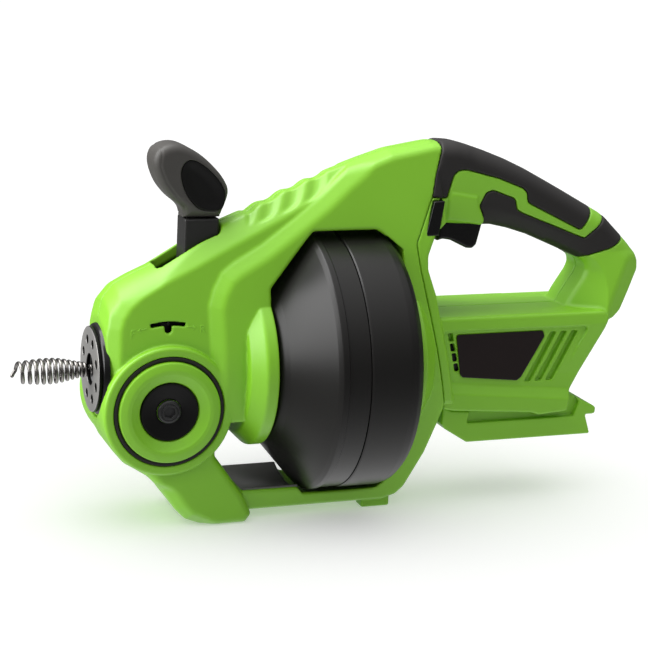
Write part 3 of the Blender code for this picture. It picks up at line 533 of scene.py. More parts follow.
def drum_room(g):
    r = g.rx()
    cone = ((g.X + 47.4) * -30.0 + (r - 57.0) * 25.0) / 39.05
    rear = ((g.X - 30) * 8 + (r - 88) * 10.5) / 13.2
    return i_(slab(g.X, -49.4, 40.5), r - 88.0, cone, rear)


def front_frame(g, dial):
    ay = g.ay
    top = g.sheared(g.xz(TOP, 7), arch)
    nose_side = (ay - nose_w(g.Z)) / 1.02
    lower = g.xz(LOWER, [4, 4, 8, 6, 8, 10, 8, 10, 4, 3, 3, 3, 4, 6, 6, 4, 4, 3, 3, 3, 3, 3])
    r = 2.4 + 3.4 * step01(-134.0, -150.0, g.X) * step01(-60, -20, g.Z) + 0 * g.Z
    r = r + 4.5 * step01(-66, -76, g.Z) * step01(-80, -92, g.X)
    crest = (ay - nose_w(g.Z) + 0.8 * g.xz(CREST_O, 5)) / 1.28
    body = ri(ri(i_(top, lower), nose_side, 0.6 + 0 * r), crest, 0.9)
    body = ri(body, i_((lower + nose_side + r) * 0.7071, g.X * 0 - 99), 1.6)
    low = (lower + nose_side + 9.0 * step01(-112, -140, g.X) * step01(4, -14, g.Z) + 0.5) * 0.7071
    body = ri(body, low, 3.0)
    # scallops pressed across the spine
    run = (g.X + 0.036 * g.Y ** 2 + 57.0) / 15.4
    saw = run - np.floor(run)
    ridge = 1.7 * (0.5 + 0.5 * np.cos(2 * np.pi * np.clip(saw / 0.92, 0, 1))) * step01(-62, -57, g.X + 0 * g.Y) * step01(-2, -8, g.X + 0 * g.Y)
    ridge = ridge * step01(15.5, 11.5, ay)
    body = body + ridge * step01(-14.0, -6.0, top)
    # the wide frame, with its slanted band
    frame = i_(top, g.xz(FRAME, [3] * 14 + [3, 4, 5, 4, 5, 4, 4, 5, 4, 3, 6, 4, 2, 2, 2, 4, 2, 2, 5, 5, 6, 8, 8, 4, 2, 2]))
    band = (ay - nose_w(g.Z) + 0.667 * g.xz(BAND, [3, 12, 12, 14, 16, 16, 16, 12, 12, 12, 12, 4, 4, 4, 4, 4])) / 1.2
    side = ri((ay - frame_w(g.Z)) / 1.02, band, 1.2)
    body = ru(body, ri(frame, side, 2.4), 1.0)
    # collars round the drum, and the dial's boss
    rr = g.rx()
    cone = ((rr - 54.3) - (g.X + 57.2)) * 0.7071
    collar = ri(ri(slab(g.X, -66.0, -49.2), rr - 54.3, 0.8), cone, 0.8)
    back = (12.3 * (g.X - 50.0) * 0 + 10.0 * (rr - 54.3) + 12.3 * (g.X - 50.0)) / 15.85
    collar2 = i_(ri(slab(g.X, 40.2, 61.5), rr - 54.3, 0.8), back)
    rb = g.ry(DIAL_X, DIAL_Z)
    boss = ri(rb - 41.6, ay - 36.0, 2.2)
    body = u(body, collar, collar2)
    body = ru(body, boss, 0.8)
    # feet under the rear of the base
    feet = ri(ri(g.xz([(22, -100), (42, -100), (42, -86), (22, -86)], 1.5), slab(ay, 9, 21), 1.5), ay - 40, 0.1)
    body = u(body, feet)
    # rooms inside
    nose_room = i_(g.sheared(g.xz([(-148.8, 32), (-145.5, 43), (-139, 49.5), (-118, 59.8), (-100, 69.5), (-79, 82), (-72, 80),
                         (-72.5, -26), (-80, -42), (-92, -50), (-124, -58), (-137, -50), (-143, -42), (-148.8, -20)]), lambda y: arch(y) * 0.98),
                   ay - nose_w(g.Z) + 3.0, -g.Z - 56, crest + 2.8, low + 2.8)
    spine_room = i_(g.sheared(g.xz([(-80, 74), (-73, 84), (-62, 91), (-45, 98), (-22, 107), (0, 115.8), (30, 127.5), (58, 133),
                          (54, 118), (38, 111), (-28, 97), (-56, 85), (-66, 73)]), arch), ay - nose_w(g.Z) + 3.6, crest + 2.8, body + 2.4)
    body = cut(body, u(nose_room, spine_room))
    body = cut(body, drum_room(g), 0.8)
    slot = ri(g.xz([(-118, 30), (-118, 90), (-76.6, 110), (-76.6, 30)]), ay - 11.2, 3.5)
    body = cut(body, slot, 0.9)
    bores = u(tube_x(g, -170, -140, 24.0), tube_x(g, -80, -40, 18.0), tube_x(g, -62.3, -51.7, 21.3),
              tube_x(g, 30, 80, 20.0), tube_x(g, 44.7, 55.3, 24.3), tube_x(g, 57, 90, 28.4),
              tube_x(g, -175, -153.2, 30.4))
    body = cut(body, bores, 0.5)
    trough = i_(slab(g.X, -62.5, -24), (-(g.Z + 85.0 - 6.4 * (g.Y / 25.0) ** 2)), ay - 25, g.Z + 70)
    body = cut(body, trough, 0.5)
    body = i_(body, g.xz(SEAM, 2))
    if dial:
        body = cut(body, i_(rb - 35.5, -(ay - 31.5)), 0.4)
        body = cut(body, rb - 7.7)
        eccentric = i_(slab(g.X, DIAL_X - 6.2, DIAL_X + 6.2), slab(g.Z, DIAL_Z - 20.6, DIAL_Z - 15.6), ay - 50)
        body = cut(body, eccentric)
        ang = np.arctan2(g.X - DIAL_X, g.Z - DIAL_Z)
        window = ri(ri(slab(rb, 53.5, 56.1), (np.abs(ang) - math.radians(11.8)) * 54.8, 0.6), 18 - ay, 0.1)
        notch = i_(u(g.ry(DIAL_X, DIAL_Z + 51.0) - 2.3, i_(slab(g.X, DIAL_X - 2.3, DIAL_X + 2.3), slab(g.Z, DIAL_Z + 51.0, DIAL_Z + 54.6))),
                   18 - ay)
        body = cut(body, u(window, notch), 0.4)
    return body


# ------------------------------------------------------------------ front frame
g = Grid((-160, -58, -102), (80, 1.6, 147), 1.0)
half = g.Y + 0.06
left = i_(front_frame(g, True), half)
field_piece("front_frame_left_form", g, left, GREEN, "housing", "front_frame_left")
right = i_(front_frame(g, False), half)
for x, z, seat in ((-59, 66.5, 18), (-58, -36, 18), (52, 37, 18), (52, -38, 18), (46, -77, 12)):
    right = cut(right, i_(g.ry(x, z) - 4.6, -(g.ay - seat + 0.3)), 0.5)
p, f, n = surface(g, right)
make("front_frame_right_form", p * (1, -1, 1), f[:, ::-1], GREEN, "housing", "front_frame_right", n * (1, -1, 1))

# ------------------------------------------------------------------ rear housing
LOOP = [(64.4, 142.7), (73, 142.9), (81, 142.4), (92, 139.6), (103, 136), (118, 130.4), (133, 123.7), (148, 116),
        (164, 107.6), (179, 99.5), (194, 91.5), (201, 84.6), (208, 78), (214.6, 71.5), (220, 65.2), (221.6, 60.2), (221, 53.6),
        (212.4, 39), (205, 27.6), (198, 23.6), (188, 22), (120, 20), (63, 20), (50.8, 62), (47.2, 77), (53.6, 110.2)]
OPENING = [(66.5, 30.6), (63.6, 46), (58.5, 62), (58.7, 71), (64.5, 85), (72, 90.5), (103, 88.2), (108, 87.9),
           (121, 84.9), (136, 80.2), (155.6, 72), (171, 65.4), (178.5, 61), (180.4, 56), (178, 50.5), (173, 43),
           (169.5, 37.5), (166, 30.6)]
BODY = [(69.5, -31.0), (61, 15), (57.8, 30.3), (187.5, 30.3), (192, 26), (189, 18), (166.5, -25), (164.4, -38.3),
        (143, -39.9), (136.8, -37.8), (80, -33.3)]
WALL_O = [(69.4, -26.8), (61, 15), (50.6, 62), (47.2, 77), (54, 110.4), (59.2, 129), (67, 129), (72, 92),
          (64.5, 85), (58.6, 71), (58.4, 62), (63.5, 46), (66.4, 30), (79, -27)]
UPPER = [(56, 165), (56, 128), (56, 108.6), (73.4, 107.0), (74.4, 111.1), (77.6, 122.2), (81.2, 125.1), (86.8, 125.3),
         (110.2, 119.3), (128.1, 112.4), (131.2, 109.3), (132.1, 102.8), (172.8, 83.2), (184, 97.5), (197, 112), (120, 165)]
LOWER_G = [(99.8, 60), (100.2, 91), (99.6, 96.7), (96.9, 100.7), (101.4, 109.9), (106.4, 111.5), (122.7, 105.5),
           (124.4, 98.2), (128.6, 95.8), (176.2, 77.4), (193, 90.5), (204, 108), (224, 88), (211.5, 77.5), (196, 70.0),
           (176, 64.8), (168, 58)]


def loop_w(z):
    return 17.6 + 12.6 * np.clip((68.0 - z) / 40.0, 0, 1)


g = Grid((46, -44, -44), (230, 1.6, 147), 0.9)
ay = g.ay
inner = g.xz(OPENING, [3, 6, 10, 10, 8, 5, 6, 12, 30, 30, 30, 14, 8, 8, 10, 14, 10, 2])
outer = g.xz(LOOP, [1, 20, 30, 40, 40, 60, 60, 60, 60, 60, 60, 40, 40, 12, 5, 3, 5, 14, 6, 5, 6, 5, 2, 2, 2, 2])
band_xz = i_(outer, -inner)
flare = 16.0 + 0.62 * np.maximum(inner - 1.0, 0) + 30 * step01(150, 128, g.X)
sidew = (ay - np.minimum(loop_w(g.Z), flare)) / 1.12
rnd = 3.0 + 9.5 * np.maximum(step01(68, 96, g.X) * step01(66, 84, g.Z + 0.32 * (g.X - 150)), 0.8 * step01(114, 132, g.Z))
loop = ri(band_xz, sidew, rnd)
# flats and a facet on the lower rear of the loop
facet = (0.50 * (g.X - 208) + 0.0 * g.Z + 0.86 * (ay - 20))
loop = ri(loop, facet / 0.995, 1.5)
under = -15.0 - 0.0975 * (g.X - 81) - g.Z
motor_w = np.maximum(33.2 - 0.10 * np.abs(g.Z - 22), 29.8 + 3.7 * np.clip(under / 6.6, 0, 1))
motor = ri(g.xz(BODY, [2, 2, 2, 5, 3, 6, 5, 2, 2, 2, 2]), (ay - motor_w) / 1.08, 2.0)
panel = g.xz([(69.0, 21.4), (176.5, 20.6), (157.5, -17.4), (79.0, -13.6)], 3.0)
motor = ru(motor, loop, 3.0)
# sunk side panel with sloping walls
motor = cut(motor, ri(panel, -(ay - 30.6) , 0.01) , 0.5)
wall = ri(g.xz(WALL_O, [2, 3, 3, 3, 3, 3, 2, 3, 8, 8, 8, 4, 2, 2]), (ay - frame_w(g.Z)) / 1.02, 2.6)
rear = ru(motor, wall, 1.2)
rear = cut(rear, i_(inner, g.Z * 0 - 1))
# grips: sunk by their thickness, kept apart by a fine groove
upper = g.xz(UPPER, [2, 2, 2, 1.5, 3, 4, 4, 4, 8, 4, 3, 4, 3, 2, 2, 2])
lowg = g.xz(LOWER_G, [2, 2, 3, 3, 4, 4, 4, 3, 4, 3, 2, 2, 2, 2, 6, 5, 2])
full = rear
rear = u(i_(rear, -upper + 0.35, -lowg + 0.35), rear + 2.6)
# bulged switch housing ahead of the lower grip
bulge = ri(ri(g.xz([(73.5, 106), (72.8, 92), (99.6, 88.4), (101.2, 92), (97.2, 101), (96, 108.5), (76, 112)], 2.0),
              (ay - 18.9) / 1.0, 3.0), ay - 30, 0.1)
rear = u(rear, bulge)
# rooms for the drive, switch, trigger and board
rooms = u(tube_x(g, 57, 93, 28.4), tube_x(g, 90, 168, 23.0), tube_x(g, 40, 70, 20.0),
          i_(g.xz([(71.5, 96), (72.5, 124), (84, 133), (108, 127), (127, 118), (126, 104), (112, 96)]), ay - 11),
          i_(g.xz([(70.6, 66), (70.6, 100), (105.6, 100), (105.6, 66)]), ay - 8.6),
          i_(slab(g.X, 95, 162), ay - 20, slab(g.Z, -30.4, -20)),
          i_(g.xz([(58.1, 84.0), (61.9, 106.1), (69.2, 106.6), (65.9, 84.4)], 0.8), ay - 60))
rear = cut(rear, rooms, 0.4)
# badge pocket, air slots
BADGE_O = [(79.6, 18.3), (142.8, 18.4), (144.2, 14.5), (128.6, -13.2), (125.6, -15.2), (85.9, -11.0), (83.9, -9.0)]
badge = g.xz(BADGE_O, [2.0, 2.0, 2.0, 2.4, 2.0, 2.0, 2.0])
rear = cut(rear, i_(badge - 0.5, -(ay - 29.9)), 0.3)
slots = None
for a, b in ((148.7, 153.3), (156.4, 161.2), (164.4, 169.4)):
    s = g.xz([(a, 17.3), (b, 17.3), (b - 17.0, -16.6), (a - 17.0, -16.6)], 0.8)
    slots = s if slots is None else u(slots, s)
depth = -(ay - 26.6)
rear = cut(rear, i_(slots, depth), 0.4)
for z0 in (14.5, 7.6, 0.7, -6.2):
    sx = 72.2 + (19.8 - z0) * 0.255
    s = g.xz([(sx, z0 + 5.0), (sx + 3.3, z0 + 5.0), (sx + 4.7, z0 - 0.6), (sx + 1.4, z0 - 0.6)], 0.4)
    rear = cut(rear, i_(s, -(ay - 26.0)), 0.2)
rear = cut(rear, g.xz(SEAM, 2) - 0.35)
half = g.Y + 0.06
p, f, n = surface(g, i_(rear, half))
make("rear_housing_left_form", p, f, GREEN, "housing", "rear_housing_left", n)
right = i_(rear, half)
for x, z in ((201, 44), (177, 12)):
    right = cut(right, i_(g.ry(x, z) - 4.4, -(ay - 11.7)), 0.5)
p, f, n = surface(g, right)
make("rear_housing_right_form", p * (1, -1, 1), f[:, ::-1], GREEN, "housing", "rear_housing_right", n * (1, -1, 1))
for name, region in (("upper", upper), ("lower", lowg)):
    grip = ri(full - 0.15, region + 0.15, 0.9)
    grip = cut(grip, full + 2.3)
    if name == "lower":
        grip = cut(grip, i_(g.xz([(80, 60), (80, 100), (106, 100), (106, 60)]), ay - 8.8))
    grip = cut(grip, g.xz(SEAM, 2) - 0.35, 0.4)
    grip = i_(grip, half)
    p, f, n = surface(g, grip)
    make("grip_%s_left_form" % name, p, f, RUBBER, "housing", "grip_%s_left" % name, n)
    make("grip_%s_right_form" % name, p * (1, -1, 1), f[:, ::-1], RUBBER, "housing", "grip_%s_right" % name, n * (1, -1, 1))

# base liner: a thin black tray that dips towards the centre
g = Grid((-64, -27, -88), (-22, 27, -74), 0.6)
tray = g.Z + 85.0 - 6.4 * (g.Y / 25.0) ** 2
liner = ri(ri(slab(tray / 1.15, -1.3, 0.4), slab(g.X, -62.3, -24.5), 0.4), g.ay - 24.6, 0.3)
field_piece("base_liner_form", g, liner, TRAY, "housing", "base_liner")

# badge plates, blank
gb = Grid((78, -33, -18), (147, -28, 21), 0.45)
plate = ri(gb.xz(BADGE_O, [2.0, 2.0, 2.0, 2.4, 2.0, 2.0, 2.0]), slab(gb.ay, 30.1, 31.1), 0.35)
field_piece("badge_plate_left_form", gb, plate, BADGE, "housing", "badge_plate_left",
            "badge_plate_right_form", "badge_plate_right")

# ------------------------------------------------------------------ cable drum
lathe("drum_front_form", [(-48, 15.3), (-48, 52), (-43.6, 56.6), (-21.4, 83.6), (-18.8, 85.9), (-15, 85.9), (-14.4, 85.1),
                          (-0.45, 85.1), (-0.45, 83.2), (-19.0, 83.2), (-22, 80.4), (-44.6, 53.2), (-45.4, 8.2), (-69, 8.2), (-69, 15)],
      "X", (0, 0, 0), DRUM, "drum", "drum_front_shell",
      r=[0.6, 2.0, 2.0, 4.0, 1.6, 0.5, 0.3, 0.4, 0.2, 0.5, 0.5, 0.5, 0.5, 0.4, 0.6], steps=192)
lathe("drum_rear_form", [(0.05, 83.4), (0.05, 85.3), (1.0, 85.8), (26.5, 85.8), (31.6, 84.5), (36.2, 80.4), (38.3, 75), (39, 70),
                         (39, 10.4), (26, 10.4), (26, 14), (36.4, 14), (36.4, 70), (33.8, 78.6), (27, 83.4)],
      "X", (0, 0, 0), DRUM, "drum", "drum_rear_shell",
      r=[0.2, 0.3, 0.6, 5, 5, 5, 3, 1.5, 0.5, 0.3, 0.3, 0.5, 1, 1, 1], steps=192)

# the cable wound inside the drum, as turns of wire in two layers
turns = []
per = 40
for layer, radius in ((0, 78.6), (1, 73.2)):
    for k in range(4 * per):
        a = 2 * math.pi * k / per
        x = -8.6 + 6.6 * k / per
        if layer:
            x = 17.6 - 6.6 * (k + 1) / per
        turns.append((x, radius * math.cos(a), radius * math.sin(a)))
wire("cable_turns", turns, 3.1, COPPER, "drum", "cable_coil", sides=10)

# ------------------------------------------------------------------ auger tip and the cable in the nose
TIP_FRONT, TIP_BACK = -203.5, -159.6


def tip_radius(s):
    if s < 0.38:
        return 5.9 + 1.4 * math.sin(math.pi / 2 * s / 0.38)
    t = (s - 0.38) / 0.62
    return 7.3 - 3.7 * (3 * t * t - 2 * t ** 3)


helix = []
per = 26
for k in range(12 * per + 1):
    s, a = k / (12 * per), 2 * math.pi * k / per
    helix.append((TIP_FRONT + (TIP_BACK - TIP_FRONT) * (1.30 * s - 0.30 * s * s), tip_radius(s) * math.cos(a), tip_radius(s) * math.sin(a)))
a, b, c = helix[0]
lead = [(a - 2.2, b - 0.6, c - 3.4), (a - 1.5, b - 0.25, c - 2.1), (a - 0.7, b, c - 1.0)]
wire("auger_tip_form", lead + helix, 1.15, SPRING, "cable", "auger_tip", sides=12)
helix = []
per = 12
for k in range(int(117 / 1.62) * per + 1):
    a = 2 * math.pi * k / per
    helix.append((-157.6 + 1.62 * k / per, 2.38 * math.cos(a), 2.38 * math.sin(a)))
wire("cable_run_form", helix, 0.8, SPRING, "cable", "cable_run", sides=8)

# ------------------------------------------------------------------ nose plate and flange
g = Grid((-159, -28.6, -28.6), (-154.6, 28.6, 28.6), 0.42)
rr = g.rx()
plate = ri(rr - 27.2, slab(g.X, -157.85, -155.6), 0.5)
plate = cut(plate, rr - 10.0, 0.4)
for k in range(8):
    a = 2 * math.pi * (k + 0.5) / 8
    plate = cut(plate, g.rx(19 * math.cos(a), 19 * math.sin(a)) - 3.0, 0.12)
field_piece("nose_plate_form", g, plate, PLATE, "housing", "nose_plate")
lathe("nose_flange_form", [(-155.4, 10.1), (-155.4, 27.2), (-154.6, 28.6), (-151.9, 29.9), (-151.2, 29.9), (-151.2, 23.5), (-146.8, 23.5),
                           (-146.8, 7.8), (-151.2, 7.8)],
      "X", (0, 0, 0), GLOSSB, "housing", "nose_flange", r=[0.4, 0.8, 1.6, 0.5, 0.2, 0.3, 0.4, 0.3, 1.0])

# ------------------------------------------------------------------ direction marks beside the pointer's window
g = Grid((-141, -30.6, 23), (-88, -27.4, 36), 0.3)
marks = None
for x0, z0, x1, z1 in ((-138.6, 26.6, -138.6, 31.0), (-138.6, 31.0, -136.0, 31.2), (-138.6, 28.9, -136.4, 29.1),
                       (-128.9, 31.9, -134.2, 30.7), (-134.2, 30.7, -132.6, 32.2), (-134.2, 30.7, -132.4, 29.6),
                       (-102.6, 31.8, -97.4, 31.2), (-97.4, 31.2, -99.0, 32.6), (-97.4, 31.2, -99.0, 30.0),
                       (-94.2, 27.9, -94.2, 32.3), (-94.2, 32.3, -92.2, 32.1), (-92.2, 32.1, -91.9, 30.8), (-91.9, 30.8, -94.2, 30.1),
                       (-93.2, 30.1, -91.6, 27.9)):
    t = np.clip(((g.X - x0) * (x1 - x0) + (g.Z - z0) * (z1 - z0)) / ((x1 - x0) ** 2 + (z1 - z0) ** 2), 0, 1)
    d = np.hypot(g.X - x0 - t * (x1 - x0), g.Z - z0 - t * (z1 - z0)) - 0.36
    marks = d if marks is None else np.minimum(marks, d)
field_piece("direction_marks", g, ri(marks, slab(g.ay - nose_w(g.Z), -0.5, 0.22), 0.12), GREEN, "housing")

# ------------------------------------------------------------------ selector dial
AT = (DIAL_X, 0, DIAL_Z)
lathe("selector_dial_form", [(-36.9, 32.4), (-38.0, 32.3), (-38.5, 31.6), (-39.5, 27.6), (-39.3, 25.2), (-38.2, 23.6), (-36.0, 19.5), (-35.2, 19.0),
                             (-33.6, 19), (-33.6, 3.05), (-22.6, 3.05), (-22.6, 7.3), (-31.9, 7.3), (-31.9, 32.4)],
      "Y", AT, GREEN, "dial", "selector_dial", r=[0.2, 0.4, 0.8, 4.0, 1.2, 1.2, 0.8, 0.3, 0.3, 0.1, 0.3, 0.3, 0.3, 0.3])
lathe("selector_dial_pin", [(-32.4, 0.0), (-32.4, 1.75), (-18.9, 1.75), (-18.4, 1.3), (-18.4, 0.0)], "Y", (DIAL_X, 0, -38.7), GREEN, "dial",
      steps=36)
lathe("dial_hub_form", [(-34.3, 7.9), (-34.6, 8.8), (-36.2, 17.2), (-36.3, 18.0), (-35.5, 18.65), (-33.9, 18.65), (-33.9, 7.9)],
      "Y", AT, BLACK, "dial", "dial_hub", r=[0.2, 0.8, 0.8, 0.4, 0.5, 0.1, 0.1])
g = Grid((DIAL_X - 18, -29.8, DIAL_Z - 10), (DIAL_X + 18, -20.4, 42), 0.5)
rb, ang = g.ry(DIAL_X, DIAL_Z), np.arctan2(g.X - DIAL_X, g.Z - DIAL_Z)
width = slab(g.X, DIAL_X - 6, DIAL_X + 6)
pointer = u(i_(slab(rb, 47.5, 60.5), (np.abs(ang) - math.radians(14)) * 54, slab(g.Y, -23.2, -21.2)),
            i_(g.xz([(DIAL_X - 9.5, DIAL_Z - 8), (DIAL_X - 7, 17), (DIAL_X + 7, 17), (DIAL_X + 9.5, DIAL_Z - 8)]), slab(g.Y, -27.6, -25.6)),
            i_(width, slab(g.Y, -23.2, -21.2), slab(g.Z, 13, 36)), i_(width, slab(g.Y, -27.2, -21.6), slab(g.Z, 13, 16.6)),
            i_(g.ry(DIAL_X, DIAL_Z + 54.8) - 0.95, slab(g.Y, -28.4, -22)))
pointer = cut(pointer, rb - 7.8, 0.2)
field_piece("selector_pointer_form", g, pointer, BLACK, "dial", "selector_pointer")
g = Grid((DIAL_X - 8.2, -37.4, DIAL_Z - 8.2), (DIAL_X + 8.2, -33.2, DIAL_Z + 8.2), 0.22)
rb = g.ry(DIAL_X, DIAL_Z)
bolt = ri(rb - 7.6 - 0.9 * (g.ay - 35.2) * -1 * step01(34.6, 36.6, g.ay), slab(g.ay, 33.9, 36.5), 0.6)
bolt = ri(bolt, slab(g.ay, 33.9, 36.5) + 0 * rb, 0.2)
hexa = g.X * 0 + g.Z * 0 - 99
for k in range(6):
    a = math.radians(60 * k + 12)
    hexa = np.maximum(hexa, (g.X - DIAL_X) * math.cos(a) + (g.Z - DIAL_Z) * math.sin(a) - 3.4)
bolt = cut(bolt, i_(hexa, -(g.ay - 34.5)), 0.25)
bolt = cut(bolt, i_(slab(rb, 4.9, 5.7), -(g.ay - 35.9)), 0.15)
field_piece("dial_bolt_form", g, bolt, DARK, "dial", "dial_bolt")
lathe("dial_seal_form", [(-35.8, 32.85), (-35.8, 35.3), (-31.8, 35.3), (-31.8, 32.85)], "Y", AT, RUBBER, "housing",
      "dial_seal_ring", r=[0.9, 0.9, 0.3, 0.3])

# ------------------------------------------------------------------ feed lever
g = Grid((-127, -11, 13), (-73, 11, 98), 0.66)
shaft = g.xz([(-78, 96), (-100.4, 96), (-100.8, 60), (-97, 38), (-82, 36), (-76.4, 42), (-76.4, 50), (-78.4, 60)], [1, 1, 8, 8, 6, 6, 6, 8])
lever = ri(shaft, (g.ay - 9.5), 1.6)
yoke = ri(g.xz([(-124.4, 35), (-124.4, 40), (-104, 43), (-92, 48), (-90, 36), (-100, 35)], [1.5, 2, 4, 4, 2, 3]), g.ay - 8, 1.2)
ears = u(ri(slab(g.X, -124.4, -121.2), ri(g.ay - 5.5, slab(g.Z, 15.6, 36), 1.5), 0.4), ri(slab(g.X, -102.8, -99.8), ri(g.ay - 5.5, slab(g.Z, 15.6, 36), 1.5), 0.4))
lever = ru(lever, ru(yoke, ears, 0.8), 1.5)
lever = cut(lever, g.ry(-86, 46) - 4.3, 0.4)
lever = cut(lever, i_(g.rx(0, 20.4) - 2.5, slab(g.X, -130, -96)), 0.2)
field_piece("feed_lever_form", g, lever, SHAFT, "lever", "feed_lever")

g = Grid((-123, -15, 93), (-70, 15, 146), 0.62)
GRIP_O = [(-77, 96.4), (-100.9, 96.4), (-102.6, 103), (-110.5, 110), (-117, 118.5), (-120.9, 129.5), (-119.8, 137.6), (-114.5, 142.0), (-107, 143.2),
          (-99, 140.8), (-89, 134.6), (-79, 125), (-73.9, 117.3), (-72.8, 112), (-74.5, 105.5)]
PAD_O = [(-78.2, 101.6), (-86, 101.0), (-93.4, 103.6), (-99.6, 110), (-103.4, 118.5), (-104.4, 126.5), (-101.6, 132.2), (-96.2, 133.4), (-88.2, 129.0), (-79.8, 120.8), (-75.4, 112.8), (-75.4, 106)]
knob = g.xz(spline(GRIP_O, keep=(0, 1)))
neck = 13.0 - 2.8 * step01(108.0, 97.0, g.Z)
head = ri(knob, g.ay - neck, 5.6)
seam_line = g.xz([(-60, 160), (-118.6, 160), (-116.4, 138), (-117.3, 129.5), (-113.2, 119.5), (-107.4, 112), (-100.8, 104), (-99.0, 90), (-60, 90)], 6)
head = head + 0.30 * np.exp(-(seam_line / 0.6) ** 2) * (g.ay > 4)
pad_d = g.xz(spline(PAD_O))
pocket = ri(pad_d + 0.2, -(g.ay - 10.0), 0.6)
head = cut(head, pocket, 1.0)
head = cut(head, i_(slab(g.Z, 97.4, 98.2), -(i_(knob, g.ay - neck) + 0.9)), 0.2)
field_piece("lever_grip_form", g, head, LEVERB, "lever", "lever_grip")
g = Grid((-107, -13.4, 98), (-73, -9.4, 136), 0.45)
pad_d = g.xz(spline(PAD_O))
dish = 12.5 - 1.1 * step01(0.5, -7.5, pad_d)
pad = ri(pad_d + 0.3, g.ay - dish, 0.8)
pad = i_(pad, 10.1 - g.ay)
field_piece("lever_pad_left_form", g, pad, PAD, "lever", "lever_pad_left", "lever_pad_right_form", "lever_pad_right")

# ------------------------------------------------------------------ trigger and direction switch
g = Grid((70, -9, 69), (106, 9, 99), 0.45)
trig = g.xz([(74, 93.6), (73.4, 84), (71.8, 76.4), (76, 78.0), (82, 77.0), (88, 74.2), (94, 71.2), (98.2, 70.9), (101, 73.5), (104.4, 88), (104, 93.6)],
            [0.5, 4, 1.2, 6, 8, 8, 5, 3, 3, 6, 0.5])
field_piece("trigger_form", g, ri(trig, g.ay - 8.0, 2.0), GLOSSB, "trigger", "trigger")
g = Grid((56, -27, 82), (71, 27, 109), 0.5)
sw = ri(g.xz([(58.6, 84.5), (62.3, 105.5), (68.6, 106), (65.4, 85)], [0.8, 1.2, 1.4, 1.0]), g.ay - 25.6, 1.3)
sw = cut(sw, i_(g.ay - 12.0, g.X * 0 - (0.174 * (g.Z - 95) - (g.X - 64.5)) - 0.4), 1.0)
cap = ri(g.xz([(56.4, 83.4), (61.2, 106.4), (68.8, 106.8), (65.6, 84.0)], 1.2), slab(g.ay, 21.4, 25.6), 1.0)
sw = u(sw, cap)
field_piece("direction_switch_form", g, sw, GLOSSB, "direction_switch", "direction_switch")

# ------------------------------------------------------------------ battery rail
RAIL_O = [(73.5, -31.0), (73.2, -43), (76, -46.5), (92, -56.5), (184.5, -56.5), (180, -42.6), (187.5, -42.6), (187.5, -37.6),
          (168.5, -28.2), (166.0, -37.4), (164.8, -38.9), (143.2, -40.5), (136.7, -38.4), (80, -33.9)]
g = Grid((71, -32, -59), (190, 32, -26), 0.66)
rail = ri(g.xz(RAIL_O, [0.5, 1.5, 3, 1.5, 1.2, 1.0, 2.2, 2.2, 2, 1, 0.5, 0.5, 1, 0.5]), g.ay - 30, 1.2)
groove = ri(g.xz([(95.5, -26), (91.0, -43.2), (170.6, -43.2), (174.6, -33.0), (168.0, -26.0)], [2, 1.8, 1.8, 1.2, 1.5]), -(g.ay - 26.2), 0.5)
rail = cut(rail, groove, 0.8)
rail = cut(rail, ri(slab(g.X, 112, 230), ri(g.ay - 19, g.Z + 47.5, 0.6), 0.4), 0.5)
field_piece("battery_rail_form", g, rail, GREEN, "housing", "battery_rail")

# ------------------------------------------------------------------ camera, floor, light
psi, pitch, roll = math.radians(20.44), math.radians(13.76), math.radians(2.36)
F = Vector((math.sin(psi) * math.cos(pitch), math.cos(psi) * math.cos(pitch), -math.sin(pitch)))
R0 = Vector((math.cos(psi), -math.sin(psi), 0))
U0 = R0.cross(F)
R = R0 * math.cos(roll) + U0 * math.sin(roll)
U = -R0 * math.sin(roll) + U0 * math.cos(roll)
FLOOR, DOME_TOP, DOME_LOW = 0.86, 1.95, 0.17
cam = bpy.data.cameras.new("camera")
cam.sensor_width = 36.0
cam.lens = 1804.0 / 650.0 * 36.0
cam.clip_start, cam.clip_end = 0.05, 100.0
cam_obj = bpy.data.objects.new("camera", cam)
bpy.context.scene.collection.objects.link(cam_obj)
rot = Matrix((R, U, -F)).transposed()
cam_obj.matrix_world = Matrix.Translation(Vector((-402.3 + DX, -1076.4, 302.6 + FZ)) / 1000.0) @ rot.to_4x4()
bpy.context.scene.camera = cam_obj

floor_mesh = bpy.data.meshes.new("floor")
floor_mesh.from_pydata([(-30, -30, 0), (30, -30, 0), (30, 30, 0), (-30, 30, 0)], [], [(0, 1, 2, 3)])
floor = bpy.data.objects.new("floor", floor_mesh)
bpy.context.scene.collection.objects.link(floor)
floor_mat = mat("studio_floor", (FLOOR, FLOOR, FLOOR), 0.85, vary=0.004, grain=60, bump=0.0, spec=0.1, blotch=1.5)
floor_mat.node_tree.nodes["Principled BSDF"].inputs["Emission Color"].default_value = (1, 1, 1, 1)
floor_mat.node_tree.nodes["Principled BSDF"].inputs["Emission Strength"].default_value = 0.31
floor_mesh.materials.append(floor_mat)
floor.visible_glossy = False

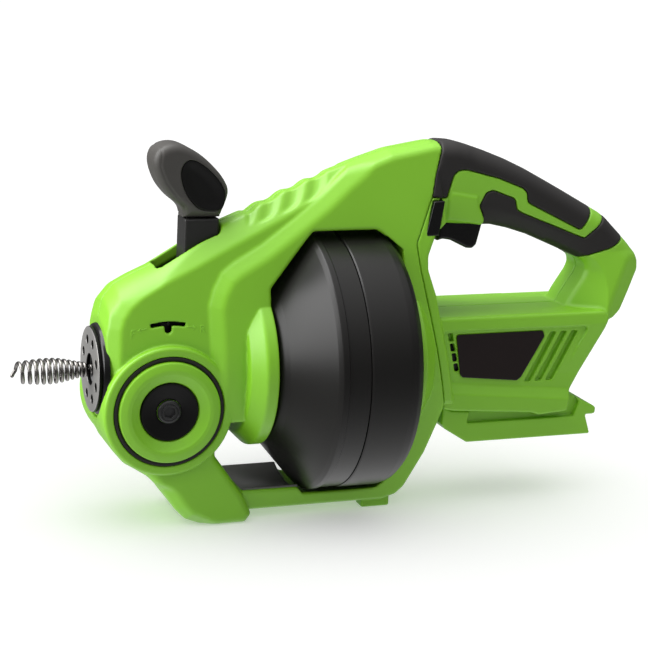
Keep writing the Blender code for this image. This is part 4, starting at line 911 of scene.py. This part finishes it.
# a pale dome, brighter overhead, seen as plain white behind the object
world_ = bpy.data.worlds.new("studio")
bpy.context.scene.world = world_
world_.use_nodes = True
wt = world_.node_tree
wt.nodes.clear()
out_ = wt.nodes.new("ShaderNodeOutputWorld")
dome = wt.nodes.new("ShaderNodeBackground")
wall = wt.nodes.new("ShaderNodeBackground")
wall.inputs["Color"].default_value = (1, 1, 1, 1)
wall.inputs["Strength"].default_value = 1.0
coord = wt.nodes.new("ShaderNodeTexCoord")
split = wt.nodes.new("ShaderNodeSeparateXYZ")
wt.links.new(coord.outputs["Generated"], split.inputs["Vector"])
power = wt.nodes.new("ShaderNodeMath")
power.operation = "POWER"
power.use_clamp = True
power.inputs[1].default_value = 2.0
wt.links.new(split.outputs["Z"], power.inputs[0])
scale = wt.nodes.new("ShaderNodeMath")
scale.operation = "MULTIPLY_ADD"
scale.inputs[1].default_value = DOME_TOP
scale.inputs[2].default_value = DOME_LOW
wt.links.new(power.outputs["Value"], scale.inputs[0])
wt.links.new(scale.outputs["Value"], dome.inputs["Strength"])
path = wt.nodes.new("ShaderNodeLightPath")
mix_ = wt.nodes.new("ShaderNodeMixShader")
wt.links.new(path.outputs["Is Camera Ray"], mix_.inputs["Fac"])
wt.links.new(dome.outputs["Background"], mix_.inputs[1])
wt.links.new(wall.outputs["Background"], mix_.inputs[2])
wt.links.new(mix_.outputs["Shader"], out_.inputs["Surface"])
bpy.context.scene.view_settings.view_transform = "Standard"


def sun(name, toward, strength, angle):
    light = bpy.data.lights.new(name, "SUN")
    light.energy = strength * math.pi
    light.angle = math.radians(angle)
    obj = bpy.data.objects.new(name, light)
    bpy.context.scene.collection.objects.link(obj)
    obj.location = (0, 0, 2)
    obj.rotation_euler = Vector(toward).to_track_quat("Z", "Y").to_euler()
    group = bpy.data.collections.new(name + "_not_on_floor")
    group.objects.link(floor)
    group.collection_objects[0].light_linking.link_state = "EXCLUDE"
    obj.light_linking.receiver_collection = group
    return obj


sun("key", (-0.42, 0.22, 1.0), 0.90, 46)
sun("left", (-0.93, 0.10, 0.36), 1.20, 50)
